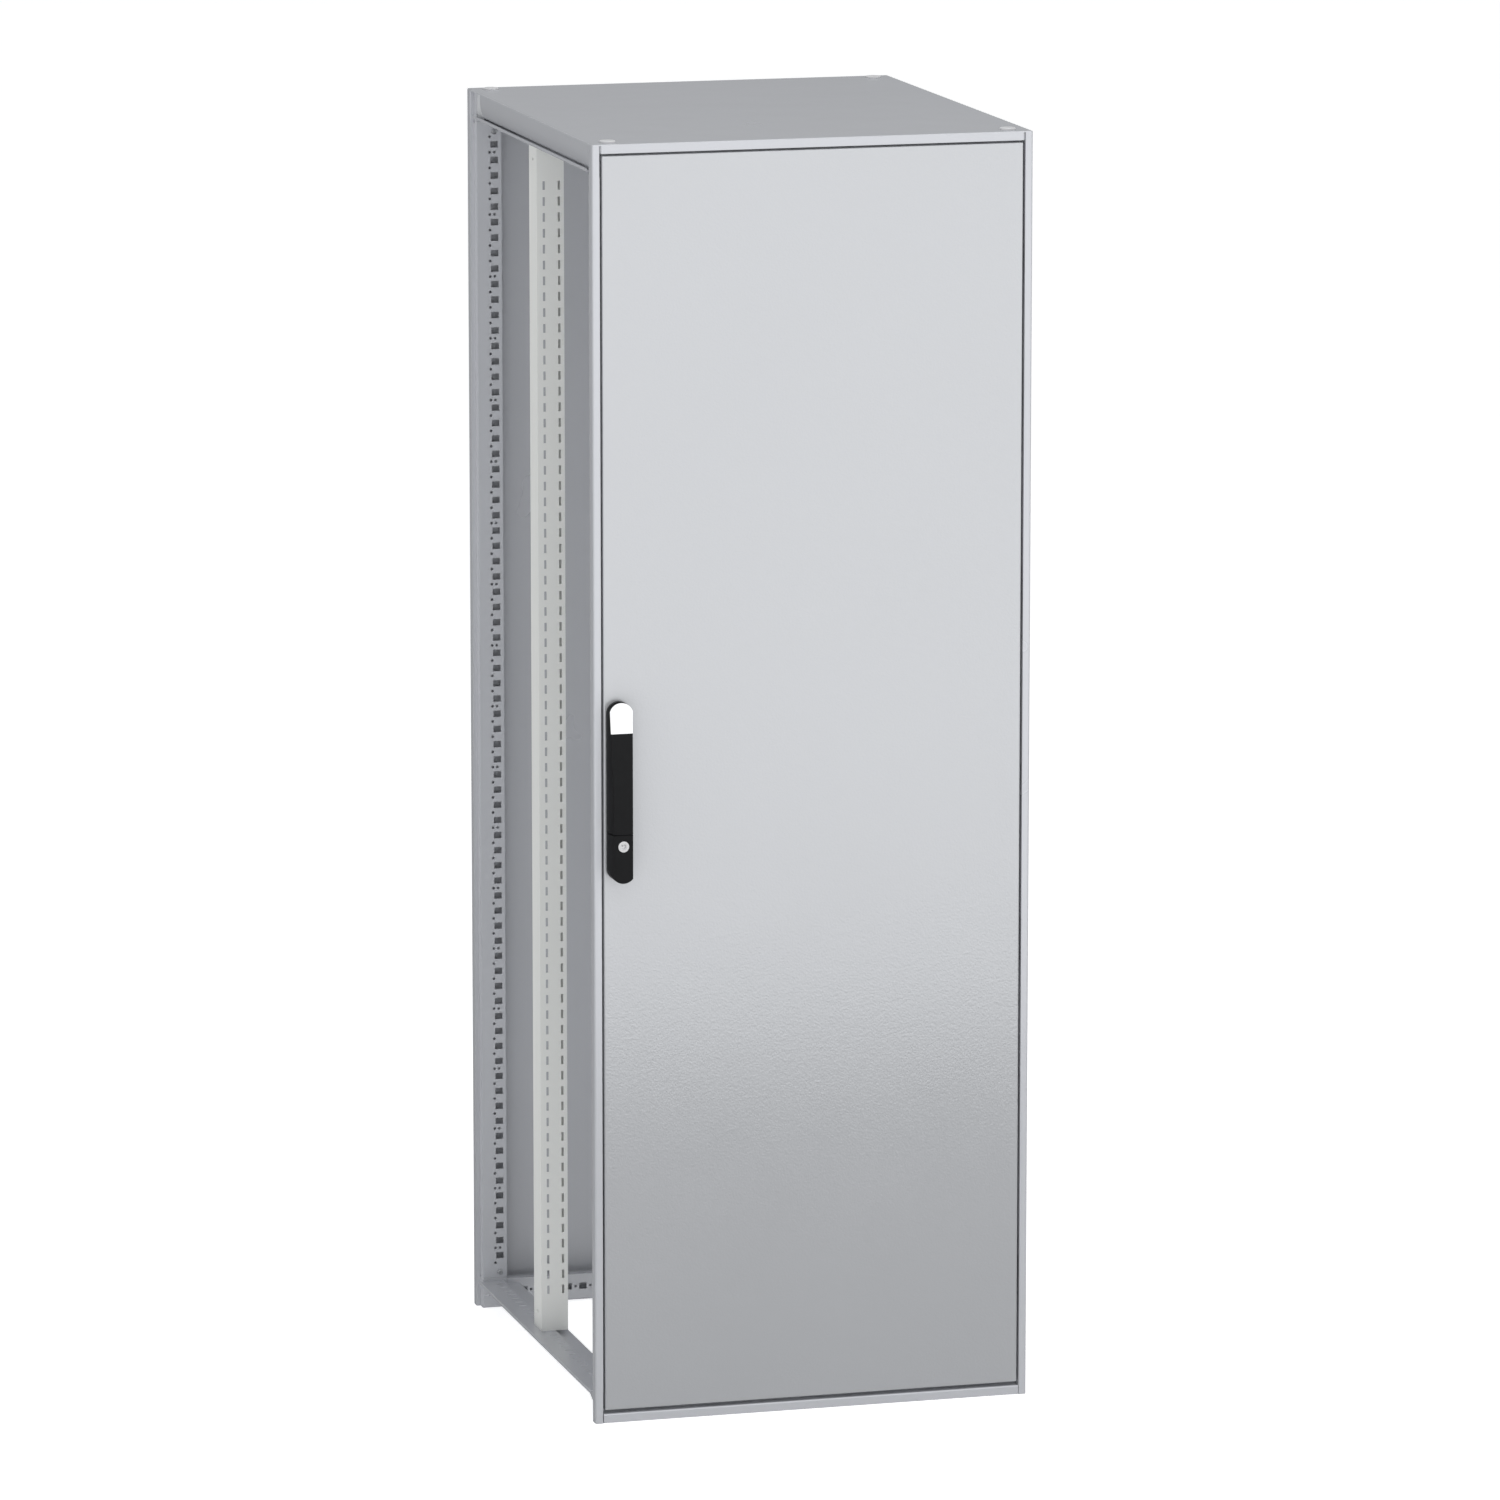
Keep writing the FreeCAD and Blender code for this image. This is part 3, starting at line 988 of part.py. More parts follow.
def rod_way(name, side, z):
    """Room for a rod, with play all round."""
    middle = f"({HANDLE_X} {side} dim.rod_in)"
    return block(name, about(middle, "(dim.rod_thick + 2 * dim.play)"),
                 (f"{ROD_Y[0]} - dim.play", f"{ROD_Y[1]} + dim.play"), z)


case_y = (SKIN_BACK, f"{SKIN_BACK} + dim.case_deep")
case_z = about(SPINDLE_Z, "dim.case_tall")
node(cut("case", block("case_outer", about(HANDLE_X, "(2 * dim.case_half)"), case_y, case_z),
         block("case_room", about(HANDLE_X, "(2 * (dim.case_half - dim.case_wall))"),
               inside(case_y, "dim.case_wall"), inside(case_z, "dim.case_wall")),
         drum("case_bore", "y", HANDLE_X, f"{SKIN_BACK} - 1", SPINDLE_Z,
              "dim.shaft_radius + dim.pin_play", "20"),
         rod_way("case_way_up", "-", (SPINDLE_Z, f"{case_z[1]} + 1")),
         rod_way("case_way_down", "+", (f"{case_z[0]} - 1", SPINDLE_Z))), "lock_case")

UPPER_RUN = f"({DOOR_TOP} - {SPINDLE_Z})"
LOWER_RUN = f"({SPINDLE_Z} - dim.door_low)"
guides = []
for i, (side, lift) in enumerate((("-", f"0.35 * {UPPER_RUN}"), ("-", f"0.82 * {UPPER_RUN}"),
                                  ("+", f"(-0.35 * {LOWER_RUN})"), ("+", f"(-0.82 * {LOWER_RUN})"))):
    middle = f"({HANDLE_X} {side} dim.rod_in)"
    z = about(f"({SPINDLE_Z} + {lift})", "14")
    outer = block(f"guide_outer_{i}", about(middle, "(dim.rod_thick + 2 * dim.play + 2 * dim.case_wall)"),
                  (SKIN_BACK, f"{ROD_Y[1]} + dim.play + dim.case_wall"), z)
    guides.append(cut(f"guide_{i}", outer, rod_way(f"guide_way_{i}", side, (f"{z[0]} - 1", f"{z[1]} + 1"))))
node(group("guide_set", *guides), "rod_guides")

UPPER_KEEP = (f"{DOOR_TOP} - dim.rod_end - dim.keep_tall", f"{DOOR_TOP} - dim.rod_end - 1")
LOWER_KEEP = ("dim.door_low + dim.rod_end + 1", "dim.door_low + dim.rod_end + dim.keep_tall")
keeps = []
for i, (side, z) in enumerate((("-", UPPER_KEEP), ("+", LOWER_KEEP))):
    middle = f"({HANDLE_X} {side} dim.rod_in)"
    mouth = block(f"keep_mouth_{i}", about(middle, "(dim.rod_thick + 4 * dim.play)"),
                  (f"{FRONT} - 1", f"{ROD_Y[1]} + 2"), (f"{z[0]} - 1", f"{z[1]} + 1"))
    hook = block(f"keep_outer_{i}", about(middle, "(dim.rod_thick + 4 * dim.play + 4)"),
                 (f"{ROD_Y[0]} + 2", SEAL_FACE), z)
    keeps.append(cut(f"keep_{i}", hook, mouth))
node(group("keep_set", *keeps), "rod_keeps")


# ---------------------------------------------------------------- checks and export

doc.recompute()
for item in doc.Objects:
    if any(word in item.State for word in ("Invalid", "Error")):
        raise SystemExit(f"{item.Name} failed to build: {item.State}")
for label, item in nodes.items():
    if item.Shape.isNull() or not item.Shape.isValid() or not item.Shape.Solids:
        raise SystemExit(f"{label} has no valid shape")
os.makedirs("parts", exist_ok=True)
for label, item in nodes.items():
    item.Shape.exportStep(f"parts/{label}.step")
    print(label, len(item.Shape.Solids), "solids", round(item.Shape.Volume), "mm3")
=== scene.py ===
# %% [markdown]
# # A tall sheet-steel cabinet with a swing handle
# The engineer's parts arrive as a fixed frame: every node is already in its place, in metres.
# Here they get their finishes, their soft edges and the small turned and moulded pieces.

# %% Load the cabinet
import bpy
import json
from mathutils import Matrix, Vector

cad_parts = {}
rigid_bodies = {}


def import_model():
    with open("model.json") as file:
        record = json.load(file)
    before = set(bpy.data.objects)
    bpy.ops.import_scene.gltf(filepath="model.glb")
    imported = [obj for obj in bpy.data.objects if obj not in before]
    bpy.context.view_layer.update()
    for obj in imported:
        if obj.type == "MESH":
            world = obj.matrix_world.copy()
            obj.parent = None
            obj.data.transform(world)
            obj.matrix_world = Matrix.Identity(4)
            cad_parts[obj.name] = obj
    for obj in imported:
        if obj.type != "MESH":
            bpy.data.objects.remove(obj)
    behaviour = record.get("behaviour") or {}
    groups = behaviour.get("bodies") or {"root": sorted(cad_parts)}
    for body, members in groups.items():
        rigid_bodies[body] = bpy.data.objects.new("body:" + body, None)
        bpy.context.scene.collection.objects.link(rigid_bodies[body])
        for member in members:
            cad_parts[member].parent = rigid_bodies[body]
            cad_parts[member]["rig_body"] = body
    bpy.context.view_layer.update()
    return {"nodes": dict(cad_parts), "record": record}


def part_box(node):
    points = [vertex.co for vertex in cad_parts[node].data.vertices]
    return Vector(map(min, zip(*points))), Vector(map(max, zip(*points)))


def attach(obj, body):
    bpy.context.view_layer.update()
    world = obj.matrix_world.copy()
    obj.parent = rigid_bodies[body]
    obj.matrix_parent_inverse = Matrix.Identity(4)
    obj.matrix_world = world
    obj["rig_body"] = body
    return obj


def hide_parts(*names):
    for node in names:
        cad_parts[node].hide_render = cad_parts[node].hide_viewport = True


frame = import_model()

# %% Shared names
import json
import math

import bmesh
import bpy
from mathutils import Matrix, Vector

MM = 0.001
nodes = frame["nodes"]
scene = bpy.context.scene

# %% [markdown]
# ## Camera
# A product view from far away with a long lens keeps the upright lines nearly parallel. The camera
# could be aimed with a constraint, but a fixed turn is easier to repeat.

# %% Camera
AZIMUTH = math.radians(-15.45)
ELEVATION = math.radians(10.64)
LENS = 216.77
SENSOR_WIDTH = 36.0
CAMERA_PLACE = (-3.7473, -13.5918, 3.6263)
toward_camera = Vector((math.sin(AZIMUTH) * math.cos(ELEVATION), -math.cos(AZIMUTH) * math.cos(ELEVATION),
                        math.sin(ELEVATION)))
camera_data = bpy.data.cameras.new("product_camera")
camera_data.lens = LENS
camera_data.sensor_width = SENSOR_WIDTH
camera_data.clip_end = 300.0
camera = bpy.data.objects.new("product_camera", camera_data)
camera.location = CAMERA_PLACE
camera.rotation_euler = toward_camera.to_track_quat("Z", "Y").to_euler()
scene.collection.objects.link(camera)
scene.camera = camera
print("camera", [round(x, 3) for x in camera.location], "lens", camera_data.lens)

# %% [markdown]
# ## Studio
# A pale floor and a pale surround give even light. The satin paint of the door mirrors what stands low in
# front of it, so one wide panel stands there. Its lower edge, and a surround that dims below the horizon,
# are what make the door darken near the floor. The camera itself sees plain white behind the cabinet.

# %% Floor
FLOOR_SIZE = 160.0
FLOOR_DROP = 0.0005
floor_mesh = bpy.data.meshes.new("studio_floor")
sheet = bmesh.new()
bmesh.ops.create_grid(sheet, x_segments=4, y_segments=4, size=FLOOR_SIZE / 2)
sheet.to_mesh(floor_mesh)
sheet.free()
floor = bpy.data.objects.new("studio_floor", floor_mesh)
floor.location = (0.0, 0.0, -FLOOR_DROP)
floor.visible_glossy = False
scene.collection.objects.link(floor)
print("floor", FLOOR_SIZE, "m square")

# %% Surround and lights
world = bpy.data.worlds.new("studio_surround")
world.use_nodes = True
scene.world = world
scene.view_settings.view_transform = "Standard"
scene.view_settings.look = "None"
world_tree = world.node_tree
world_tree.nodes.clear()
world_out = world_tree.nodes.new("ShaderNodeOutputWorld")
seen = world_tree.nodes.new("ShaderNodeBackground")
lit = world_tree.nodes.new("ShaderNodeBackground")
choice = world_tree.nodes.new("ShaderNodeMixShader")
path = world_tree.nodes.new("ShaderNodeLightPath")
where = world_tree.nodes.new("ShaderNodeTexCoord")
split = world_tree.nodes.new("ShaderNodeSeparateXYZ")
ramp = world_tree.nodes.new("ShaderNodeMapRange")
for socket, value in (("From Min", -0.30), ("From Max", 0.05), ("To Min", 0.04), ("To Max", 0.38)):
    ramp.inputs[socket].default_value = value
seen.inputs["Color"].default_value = (1.0, 1.0, 1.0, 1.0)
seen.inputs["Strength"].default_value = 1.0
lit.inputs["Color"].default_value = (0.97, 0.985, 1.0, 1.0)
world_tree.links.new(where.outputs["Generated"], split.inputs["Vector"])
world_tree.links.new(split.outputs["Z"], ramp.inputs["Value"])
world_tree.links.new(ramp.outputs["Result"], lit.inputs["Strength"])
world_tree.links.new(path.outputs["Is Camera Ray"], choice.inputs["Fac"])
world_tree.links.new(lit.outputs["Background"], choice.inputs[1])
world_tree.links.new(seen.outputs["Background"], choice.inputs[2])
world_tree.links.new(choice.outputs["Shader"], world_out.inputs["Surface"])


def soft_panel(name, centre, target, width, height, radiance):
    """A wide soft light that faces its target; its power follows from its size and brightness."""
    data = bpy.data.lights.new(name, "AREA")
    data.shape = "RECTANGLE"
    data.size = width
    data.size_y = height
    data.energy = radiance * math.pi * width * height
    lamp = bpy.data.objects.new(name, data)
    lamp.location = centre
    lamp.rotation_euler = (Vector(centre) - Vector(target)).to_track_quat("Z", "Y").to_euler()
    scene.collection.objects.link(lamp)
    print(name, "power", round(data.energy, 1), "W")
    return lamp


soft_panel("front_panel", (0.6, -2.0, 1.75), (0.6, 0.0, 1.75), 4.6, 3.05, 0.80)
soft_panel("top_panel", (0.0, -0.3, 5.0), (0.0, 0.0, 0.0), 4.0, 4.0, 1.35)
soft_panel("left_panel", (-3.0, -1.3, 1.5), (-0.35, 0.0, 1.5), 1.8, 2.8, 0.45)

# %% [markdown]
# ## Finishes
# All finishes are procedural and read object coordinates, which are metres in the cabinet's own frame, so
# a grain that is right on one piece is right on all. Powder coat is a satin film with a fine leather-like
# grain: the grain is a bump, because its height is only a few hundredths of a millimetre.

# %% Finish helpers


def new_finish(name, colour, roughness, metallic=0.0, **sockets):
    """A principled material with its constants set on the shader's own sockets."""
    material = bpy.data.materials.new(name)
    material.use_nodes = True
    tree = material.node_tree
    shader = tree.nodes["Principled BSDF"]
    shader.inputs["Base Color"].default_value = (*colour, 1.0)
    shader.inputs["Roughness"].default_value = roughness
    shader.inputs["Metallic"].default_value = metallic
    for socket, value in sockets.items():
        shader.inputs[socket.replace("_", " ")].default_value = value
    material.diffuse_color = (*colour, 1.0)
    return material, tree, shader


def place_of(tree, stretch=(1.0, 1.0, 1.0)):
    """Object coordinates, stretched where a grain has a direction."""
    coordinate = tree.nodes.new("ShaderNodeTexCoord")
    mapping = tree.nodes.new("ShaderNodeMapping")
    mapping.inputs["Scale"].default_value = stretch
    tree.links.new(coordinate.outputs["Object"], mapping.inputs["Vector"])
    return mapping.outputs["Vector"]


def noise(tree, place, scale, detail=2.0, rough=0.5, distortion=0.0):
    """A noise pattern; scale is the number of features in a metre."""
    node = tree.nodes.new("ShaderNodeTexNoise")
    node.inputs["Scale"].default_value = scale
    node.inputs["Detail"].default_value = detail
    node.inputs["Roughness"].default_value = rough
    node.inputs["Distortion"].default_value = distortion
    tree.links.new(place, node.inputs["Vector"])
    return node.outputs["Fac"]


def spread(tree, value, low, high, start=0.0, end=1.0):
    """Maps a pattern onto a range; wide limits leave no contour where it would be cut off."""
    node = tree.nodes.new("ShaderNodeMapRange")
    node.inputs["From Min"].default_value = start
    node.inputs["From Max"].default_value = end
    node.inputs["To Min"].default_value = low
    node.inputs["To Max"].default_value = high
    tree.links.new(value, node.inputs["Value"])
    return node.outputs["Result"]


def tint(tree, shader, value, dark, light):
    """Colours the surface between two shades."""
    node = tree.nodes.new("ShaderNodeMix")
    node.data_type = "RGBA"
    node.inputs["A"].default_value = (*dark, 1.0)
    node.inputs["B"].default_value = (*light, 1.0)
    tree.links.new(value, node.inputs["Factor"])
    tree.links.new(node.outputs["Result"], shader.inputs["Base Color"])


def raise_grain(tree, shader, layers):
    """Stacks bumps, each a pattern with its height in millimetres."""
    normal = None
    for pattern, height in layers:
        node = tree.nodes.new("ShaderNodeBump")
        node.inputs["Strength"].default_value = 1.0
        node.inputs["Distance"].default_value = height * MM
        tree.links.new(pattern, node.inputs["Height"])
        if normal is not None:
            tree.links.new(normal, node.inputs["Normal"])
        normal = node.outputs["Normal"]
    tree.links.new(normal, shader.inputs["Normal"])


def powder_coat(name, colour, grain=0.02, pitch=420.0, roughness=0.26, metallic=0.3):
    """Satin powder coat: leather grain, finer orange peel and a faint cloudiness."""
    material, tree, shader = new_finish(name, colour, roughness, metallic)
    place = place_of(tree)
    cells = tree.nodes.new("ShaderNodeTexVoronoi")
    cells.feature = "SMOOTH_F1"
    cells.inputs["Scale"].default_value = pitch
    cells.inputs["Smoothness"].default_value = 0.6
    tree.links.new(place, cells.inputs["Vector"])
    leather = noise(tree, place, pitch * 0.9, 3.0, 0.55, 0.4)
    cloud = noise(tree, place, 3.0, 2.0)
    shade = [c * 0.975 for c in colour]
    tint(tree, shader, spread(tree, cloud, 0.0, 1.0), shade, colour)
    tree.links.new(spread(tree, noise(tree, place, 9.0), roughness - 0.03, roughness + 0.03),
                   shader.inputs["Roughness"])
    raise_grain(tree, shader, [(cells.outputs["Distance"], grain), (leather, grain * 1.4)])
    return material


# %% Finishes of this cabinet
paint = powder_coat("frame_coat", (0.56, 0.57, 0.60))
door_paint = powder_coat("door_coat", (0.56, 0.57, 0.59), grain=0.10, pitch=290.0, roughness=0.23,
                         metallic=0.45)
roof_paint = powder_coat("roof_coat", (0.56, 0.57, 0.60), grain=0.025, pitch=380.0)
inner_paint = powder_coat("inner_upright_coat", (0.76, 0.77, 0.75), grain=0.01, roughness=0.42, metallic=0.0)


def handle_plastic():
    """Glass-filled nylon with the fine spark-eroded grain of its mould."""
    material, tree, shader = new_finish("handle_plastic", (0.007, 0.0072, 0.008), 0.5,
                                        Specular_IOR_Level=0.16)
    place = place_of(tree)
    fine = noise(tree, place, 2600.0, 2.0, 0.6)
    broad = noise(tree, place, 60.0, 2.0)
    tint(tree, shader, spread(tree, broad, 0.0, 1.0), (0.005, 0.0052, 0.006), (0.009, 0.0092, 0.010))
    tree.links.new(spread(tree, broad, 0.46, 0.54), shader.inputs["Roughness"])
    raise_grain(tree, shader, [(fine, 0.01)])
    return material


def smooth_plastic(name, colour, roughness=0.3, grain=0.004):
    """Injection-moulded plastic with a slight waviness."""
    material, tree, shader = new_finish(name, colour, roughness)
    place = place_of(tree)
    wave = noise(tree, place, 120.0, 2.0)
    tint(tree, shader, spread(tree, wave, 0.0, 1.0), [c * 0.97 for c in colour], colour)
    raise_grain(tree, shader, [(noise(tree, place, 900.0, 2.0), grain)])
    return material


def zinc_plate(name="zinc_plate", colour=(0.56, 0.57, 0.58), roughness=0.34):
    """Zinc plate: cloudy crystals over faint drawing lines."""
    material, tree, shader = new_finish(name, colour, roughness, 1.0)
    place = place_of(tree)
    crystals = noise(tree, place, 160.0, 4.0, 0.6, 0.6)
    lines = noise(tree, place_of(tree, (900.0, 900.0, 14.0)), 1.0, 2.0)
    tint(tree, shader, spread(tree, crystals, 0.0, 1.0), [c * 0.86 for c in colour], colour)
    tree.links.new(spread(tree, crystals, roughness - 0.06, roughness + 0.08), shader.inputs["Roughness"])
    raise_grain(tree, shader, [(lines, 0.006), (crystals, 0.01)])
    return material


def foam_rubber():
    """Closed-cell foam: matt black with pores."""
    material, tree, shader = new_finish("foam_rubber", (0.02, 0.02, 0.021), 0.85)
    place = place_of(tree)
    pores = tree.nodes.new("ShaderNodeTexVoronoi")
    pores.inputs["Scale"].default_value = 1400.0
    tree.links.new(place, pores.inputs["Vector"])
    tint(tree, shader, spread(tree, pores.outputs["Distance"], 0.0, 1.0, 0.0, 0.6), (0.03, 0.03, 0.032),
         (0.012, 0.012, 0.013))
    raise_grain(tree, shader, [(pores.outputs["Distance"], 0.12)])
    return material


def floor_finish():
    """Smooth pale studio floor."""
    material, tree, shader = new_finish("studio_floor_finish", (0.93, 0.93, 0.93), 0.7)
    shader.inputs["Specular IOR Level"].default_value = 0.2
    shader.inputs["Emission Color"].default_value = (1.0, 1.0, 1.0, 1.0)
    shader.inputs["Emission Strength"].default_value = 0.66
    return material


handle_black = handle_plastic()
insert_white = smooth_plastic("insert_white", (0.92, 0.92, 0.92))
cap_plastic = smooth_plastic("cap_plastic", (0.70, 0.70, 0.71), 0.4, 0.01)
zinc = zinc_plate()
die_cast = zinc_plate("die_cast_silver", (0.80, 0.80, 0.81), 0.24)
seal_foam = foam_rubber()
floor.data.materials.append(floor_finish())
print(len(bpy.data.materials), "finishes")

# %% [markdown]
# ## Giving the parts their finishes
# Each node names its finish in the record, so one table from slot to material covers all of them.

# %% Assign the finishes
finish_of_slot = {
    "frame_paint": paint, "door_paint": door_paint, "roof_paint": roof_paint, "panel_paint": paint,
    "inner_paint": inner_paint, "zinc_steel": zinc, "seal_rubber": seal_foam, "cap_plastic": cap_plastic,
    "handle_black": handle_black, "insert_white": insert_white, "lock_silver": die_cast,
}
slot_of_node = {row["node"]: row["material_slot"] for row in frame["record"]["subparts"]}
for name, item in nodes.items():
    item.data.materials.clear()
    item.data.materials.append(finish_of_slot[slot_of_node[name]])
print(len(nodes), "nodes finished")

# %% [markdown]
# ## Making a piece
# Every new piece is a bmesh that ends the same way: its faces are smooth, its true corners are marked sharp,
# and a Weighted Normal modifier keeps the flats flat beside their rounds. It then rides on its CAD body,
# takes the node's finish and stands in for the node.

# %% Piece helper
body_of = {name: item["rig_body"] for name, item in nodes.items()}
SHARP = math.radians(30.0)
SPUN_WELD = 0.002
print(len(set(body_of.values())), "bodies carry the nodes")


def make_piece(name, shape, node, spun=False, second=None):
    """Makes an object of a bmesh that stands for a CAD node; a spun shape is closed first."""
    if spun:
        bmesh.ops.remove_doubles(shape, verts=shape.verts, dist=SPUN_WELD * MM)
        bmesh.ops.recalc_face_normals(shape, faces=shape.faces)
    for face in shape.faces:
        face.smooth = True
    for edge in shape.edges:
        edge.smooth = edge.is_manifold and edge.calc_face_angle(0.0) < SHARP
    mesh = bpy.data.meshes.new(name)
    shape.to_mesh(mesh)
    shape.free()
    mesh.materials.append(finish_of_slot[slot_of_node[node]])
    if second:
        mesh.materials.append(second)
    piece = bpy.data.objects.new(name, mesh)
    scene.collection.objects.link(piece)
    shade = piece.modifiers.new("flat_shading", "WEIGHTED_NORMAL")
    shade.keep_sharp = True
    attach(piece, body_of[node])
    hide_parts(node)
    return piece


# %% [markdown]
# ## Rounded bends
# Sheet steel is folded over a punch, so every bend has a radius, and the thin round catches the light along
# the whole upright. A Bevel modifier would also round the hundreds of punched holes, which are sharp on the
# real frame. So each folded piece is copied and welded, and only its long outside bends are bevelled.

# %% Round the long bends
WELD = 0.01
NEAR = 0.1 * MM
LONG = 30.0
LEAST_TURN = math.radians(50.0)


def copy_of(node):
    """The node's shape, welded, with its flat triangles dissolved into whole faces."""
    shape = bmesh.new()
    shape.from_mesh(nodes[node].data)
    bmesh.ops.remove_doubles(shape, verts=shape.verts, dist=WELD * MM)
    bmesh.ops.dissolve_limit(shape, angle_limit=math.radians(0.3), verts=shape.verts, edges=shape.edges)
    return shape


def reach(edge, face):
    """How far a face runs away from one of its edges."""
    start = edge.verts[0].co
    along = (edge.verts[1].co - start).normalized()
    return max(((v.co - start) - (v.co - start).dot(along) * along).length for v in face.verts)


def bends(shape, room):
    """Long outside edges that have enough flat on both sides for a round."""
    found = []
    for edge in shape.edges:
        long_enough = edge.is_manifold and edge.calc_length() > LONG * MM
        if not long_enough or edge.calc_face_angle_signed() < LEAST_TURN:
            continue
        if min(reach(edge, face) for face in edge.link_faces) > room * MM:
            found.append(edge)
    return found


def round_off(shape, edges, radius, segments=4):
    """Rounds edges; the radius is in millimetres."""
    bmesh.ops.bevel(shape, geom=edges, offset=radius * MM, offset_type="OFFSET", segments=segments,
                    profile=0.5, affect="EDGES", clamp_overlap=True, material=-1)


def add_box(shape, low, high):
    """A box between two corners, in metres; returns its new vertices."""
    size = Vector(high) - Vector(low)
    where = Matrix.Translation((Vector(high) + Vector(low)) / 2) @ Matrix.Diagonal((*size, 1.0))
    return bmesh.ops.create_cube(shape, size=1.0, matrix=where)["verts"]


cab_low, cab_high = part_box("roof_panel")


def on_corner(edge):
    """True for an edge along one of the cabinet's four upright corners."""
    return all(abs(abs(v.co.x) - cab_high.x) < NEAR and abs(abs(v.co.y) - cab_high.y) < NEAR
               for v in edge.verts)


def add_web(shape, node):
    """The cast web that fills the space between a rear top corner's arm and the roof."""
    low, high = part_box(node)
    side = -1.0 if low.x < 0.0 else 1.0
    outer = side * (cab_high.x - WEB_IN * MM)
    inner = outer - side * WEB_THICK * MM
    web = add_box(shape, (min(outer, inner), low.y + 0.2 * MM, high.z - 40.0 * MM),
                  (max(outer, inner), cab_high.y - WEB_REAR * MM, high.z - 1.5 * MM))
    # The web's faces take the second slot: a lighter copy of the frame coat that paints light on the web.
    for face in {f for v in web for f in v.link_faces}:
        face.material_index = 1


def seam_edges(shape, node):
    """The outer edges of an upright's or corner's cut ends, where a seam shows."""
    low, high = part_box(node)
    ends = [z for z in (low.z, high.z) if 1.0 * MM < z < cab_high.z - 5.0 * MM]
    return [e for e in shape.edges
            if e.is_manifold and e.calc_length() > 9.0 * MM and e.calc_face_angle(0.0) > 1.0
            and any(all(abs(v.co.z - z) < 1e-5 for v in e.verts) for z in ends)
            and all(max(abs(v.co.x) - cab_high.x, abs(v.co.y) - cab_high.y) > -1e-5 for v in e.verts)]


OUTER_ROUND = 3.4
OUTER_ROOM = 8.0
BEND_ROUND = 1.5
BEND_ROOM = 3.2
RAIL_ROUND = 0.8
SEAM_ROUND = 0.5
WEB_IN = 7.6
WEB_THICK = 2.0
WEB_REAR = 38.2
POSTS = ("upright_", "corner_")
# The web's coat is the frame coat made lighter and matt: painted light, so the web's face shows brighter than
# the casting it belongs to.
web_painted_light_coat = powder_coat("corner_web_painted_light", (0.60, 0.61, 0.625), grain=0.01, metallic=0.0)
frame_nodes = [name for name in nodes
               if name.startswith((*POSTS, "cross_rail_", "depth_rail_"))]
for name in frame_nodes:
    shape = copy_of(name)
    round_off(shape, [e for e in bends(shape, OUTER_ROOM) if on_corner(e)], OUTER_ROUND, 5)
    long_bends = [e for e in bends(shape, BEND_ROOM) if not on_corner(e)]
    round_off(shape, long_bends, BEND_ROUND if name.startswith(POSTS) else RAIL_ROUND)
    if name.startswith(POSTS):
        round_off(shape, seam_edges(shape, name), SEAM_ROUND, 2)
    webbed = name.startswith("corner_top_rear")
    if webbed:
        add_web(shape, name)
    make_piece(f"{name}_folded", shape, name, second=web_painted_light_coat if webbed else None)
print(len(frame_nodes), "folded and cast pieces rounded")

# %% [markdown]
# ## Roof
# The roof is one sheet with a folded strip at the front and the rear and a curved skirt along each side.
# The sheet starts as a box whose corners and top edges are bevelled; each skirt starts as one short edge
# that is extruded down, spun round its curve and then drawn along the cabinet's depth.

# %% Roof
ROOF_SHEET = 2.0
STRIP_TALL = 14.0
STRIP_GROOVE = 2.2
RIM_WIDE = 12.1
SKIRT_TALL = 12.0
SKIRT_CURVE = 65.0
SKIRT_TURN = 24.0
SKIRT_SHEET = 1.5
SKIRT_FRONT = 20.6
SKIRT_REAR = 88.0
STRIP_ROUND = 1.6
RIM_ROUND = 1.7


def edges_between(verts, wanted):
    """Edges of a set of vertices whose both ends pass a test."""
    return list({e for v in verts for e in v.link_edges if all(wanted(end) for end in e.verts)})


def add_skirt(shape, top):
    """The left skirt, from one edge across the sheet's thickness."""
    y = cab_low.y + SKIRT_FRONT * MM
    depth = cab_high.y - SKIRT_REAR * MM - y
    ends = [shape.verts.new((cab_low.x + offset * MM, y, top)) for offset in (0.0, SKIRT_SHEET)]
    edge = shape.edges.new(ends)
    down = bmesh.ops.extrude_edge_only(shape, edges=[edge])["geom"]
    lowered = [g for g in down if isinstance(g, bmesh.types.BMVert)]
    bmesh.ops.translate(shape, verts=lowered, vec=(0.0, 0.0, -(SKIRT_TALL - ROOF_SHEET) * MM))
    lower = [e for e in shape.edges if e.verts[0] in lowered and e.verts[1] in lowered]
    centre = (cab_low.x + SKIRT_CURVE * MM, y, top - (SKIRT_TALL - ROOF_SHEET) * MM)
    bmesh.ops.spin(shape, geom=lower, cent=centre, axis=(0.0, -1.0, 0.0),
                   angle=math.radians(SKIRT_TURN), steps=8, use_duplicate=False)
    side = [f for f in shape.faces if all(abs(v.co.y - y) < 1e-6 for v in f.verts)]
    drawn = bmesh.ops.extrude_face_region(shape, geom=side)["geom"]
    bmesh.ops.translate(shape, verts=[g for g in drawn if isinstance(g, bmesh.types.BMVert)],
                        vec=(0.0, depth, 0.0))


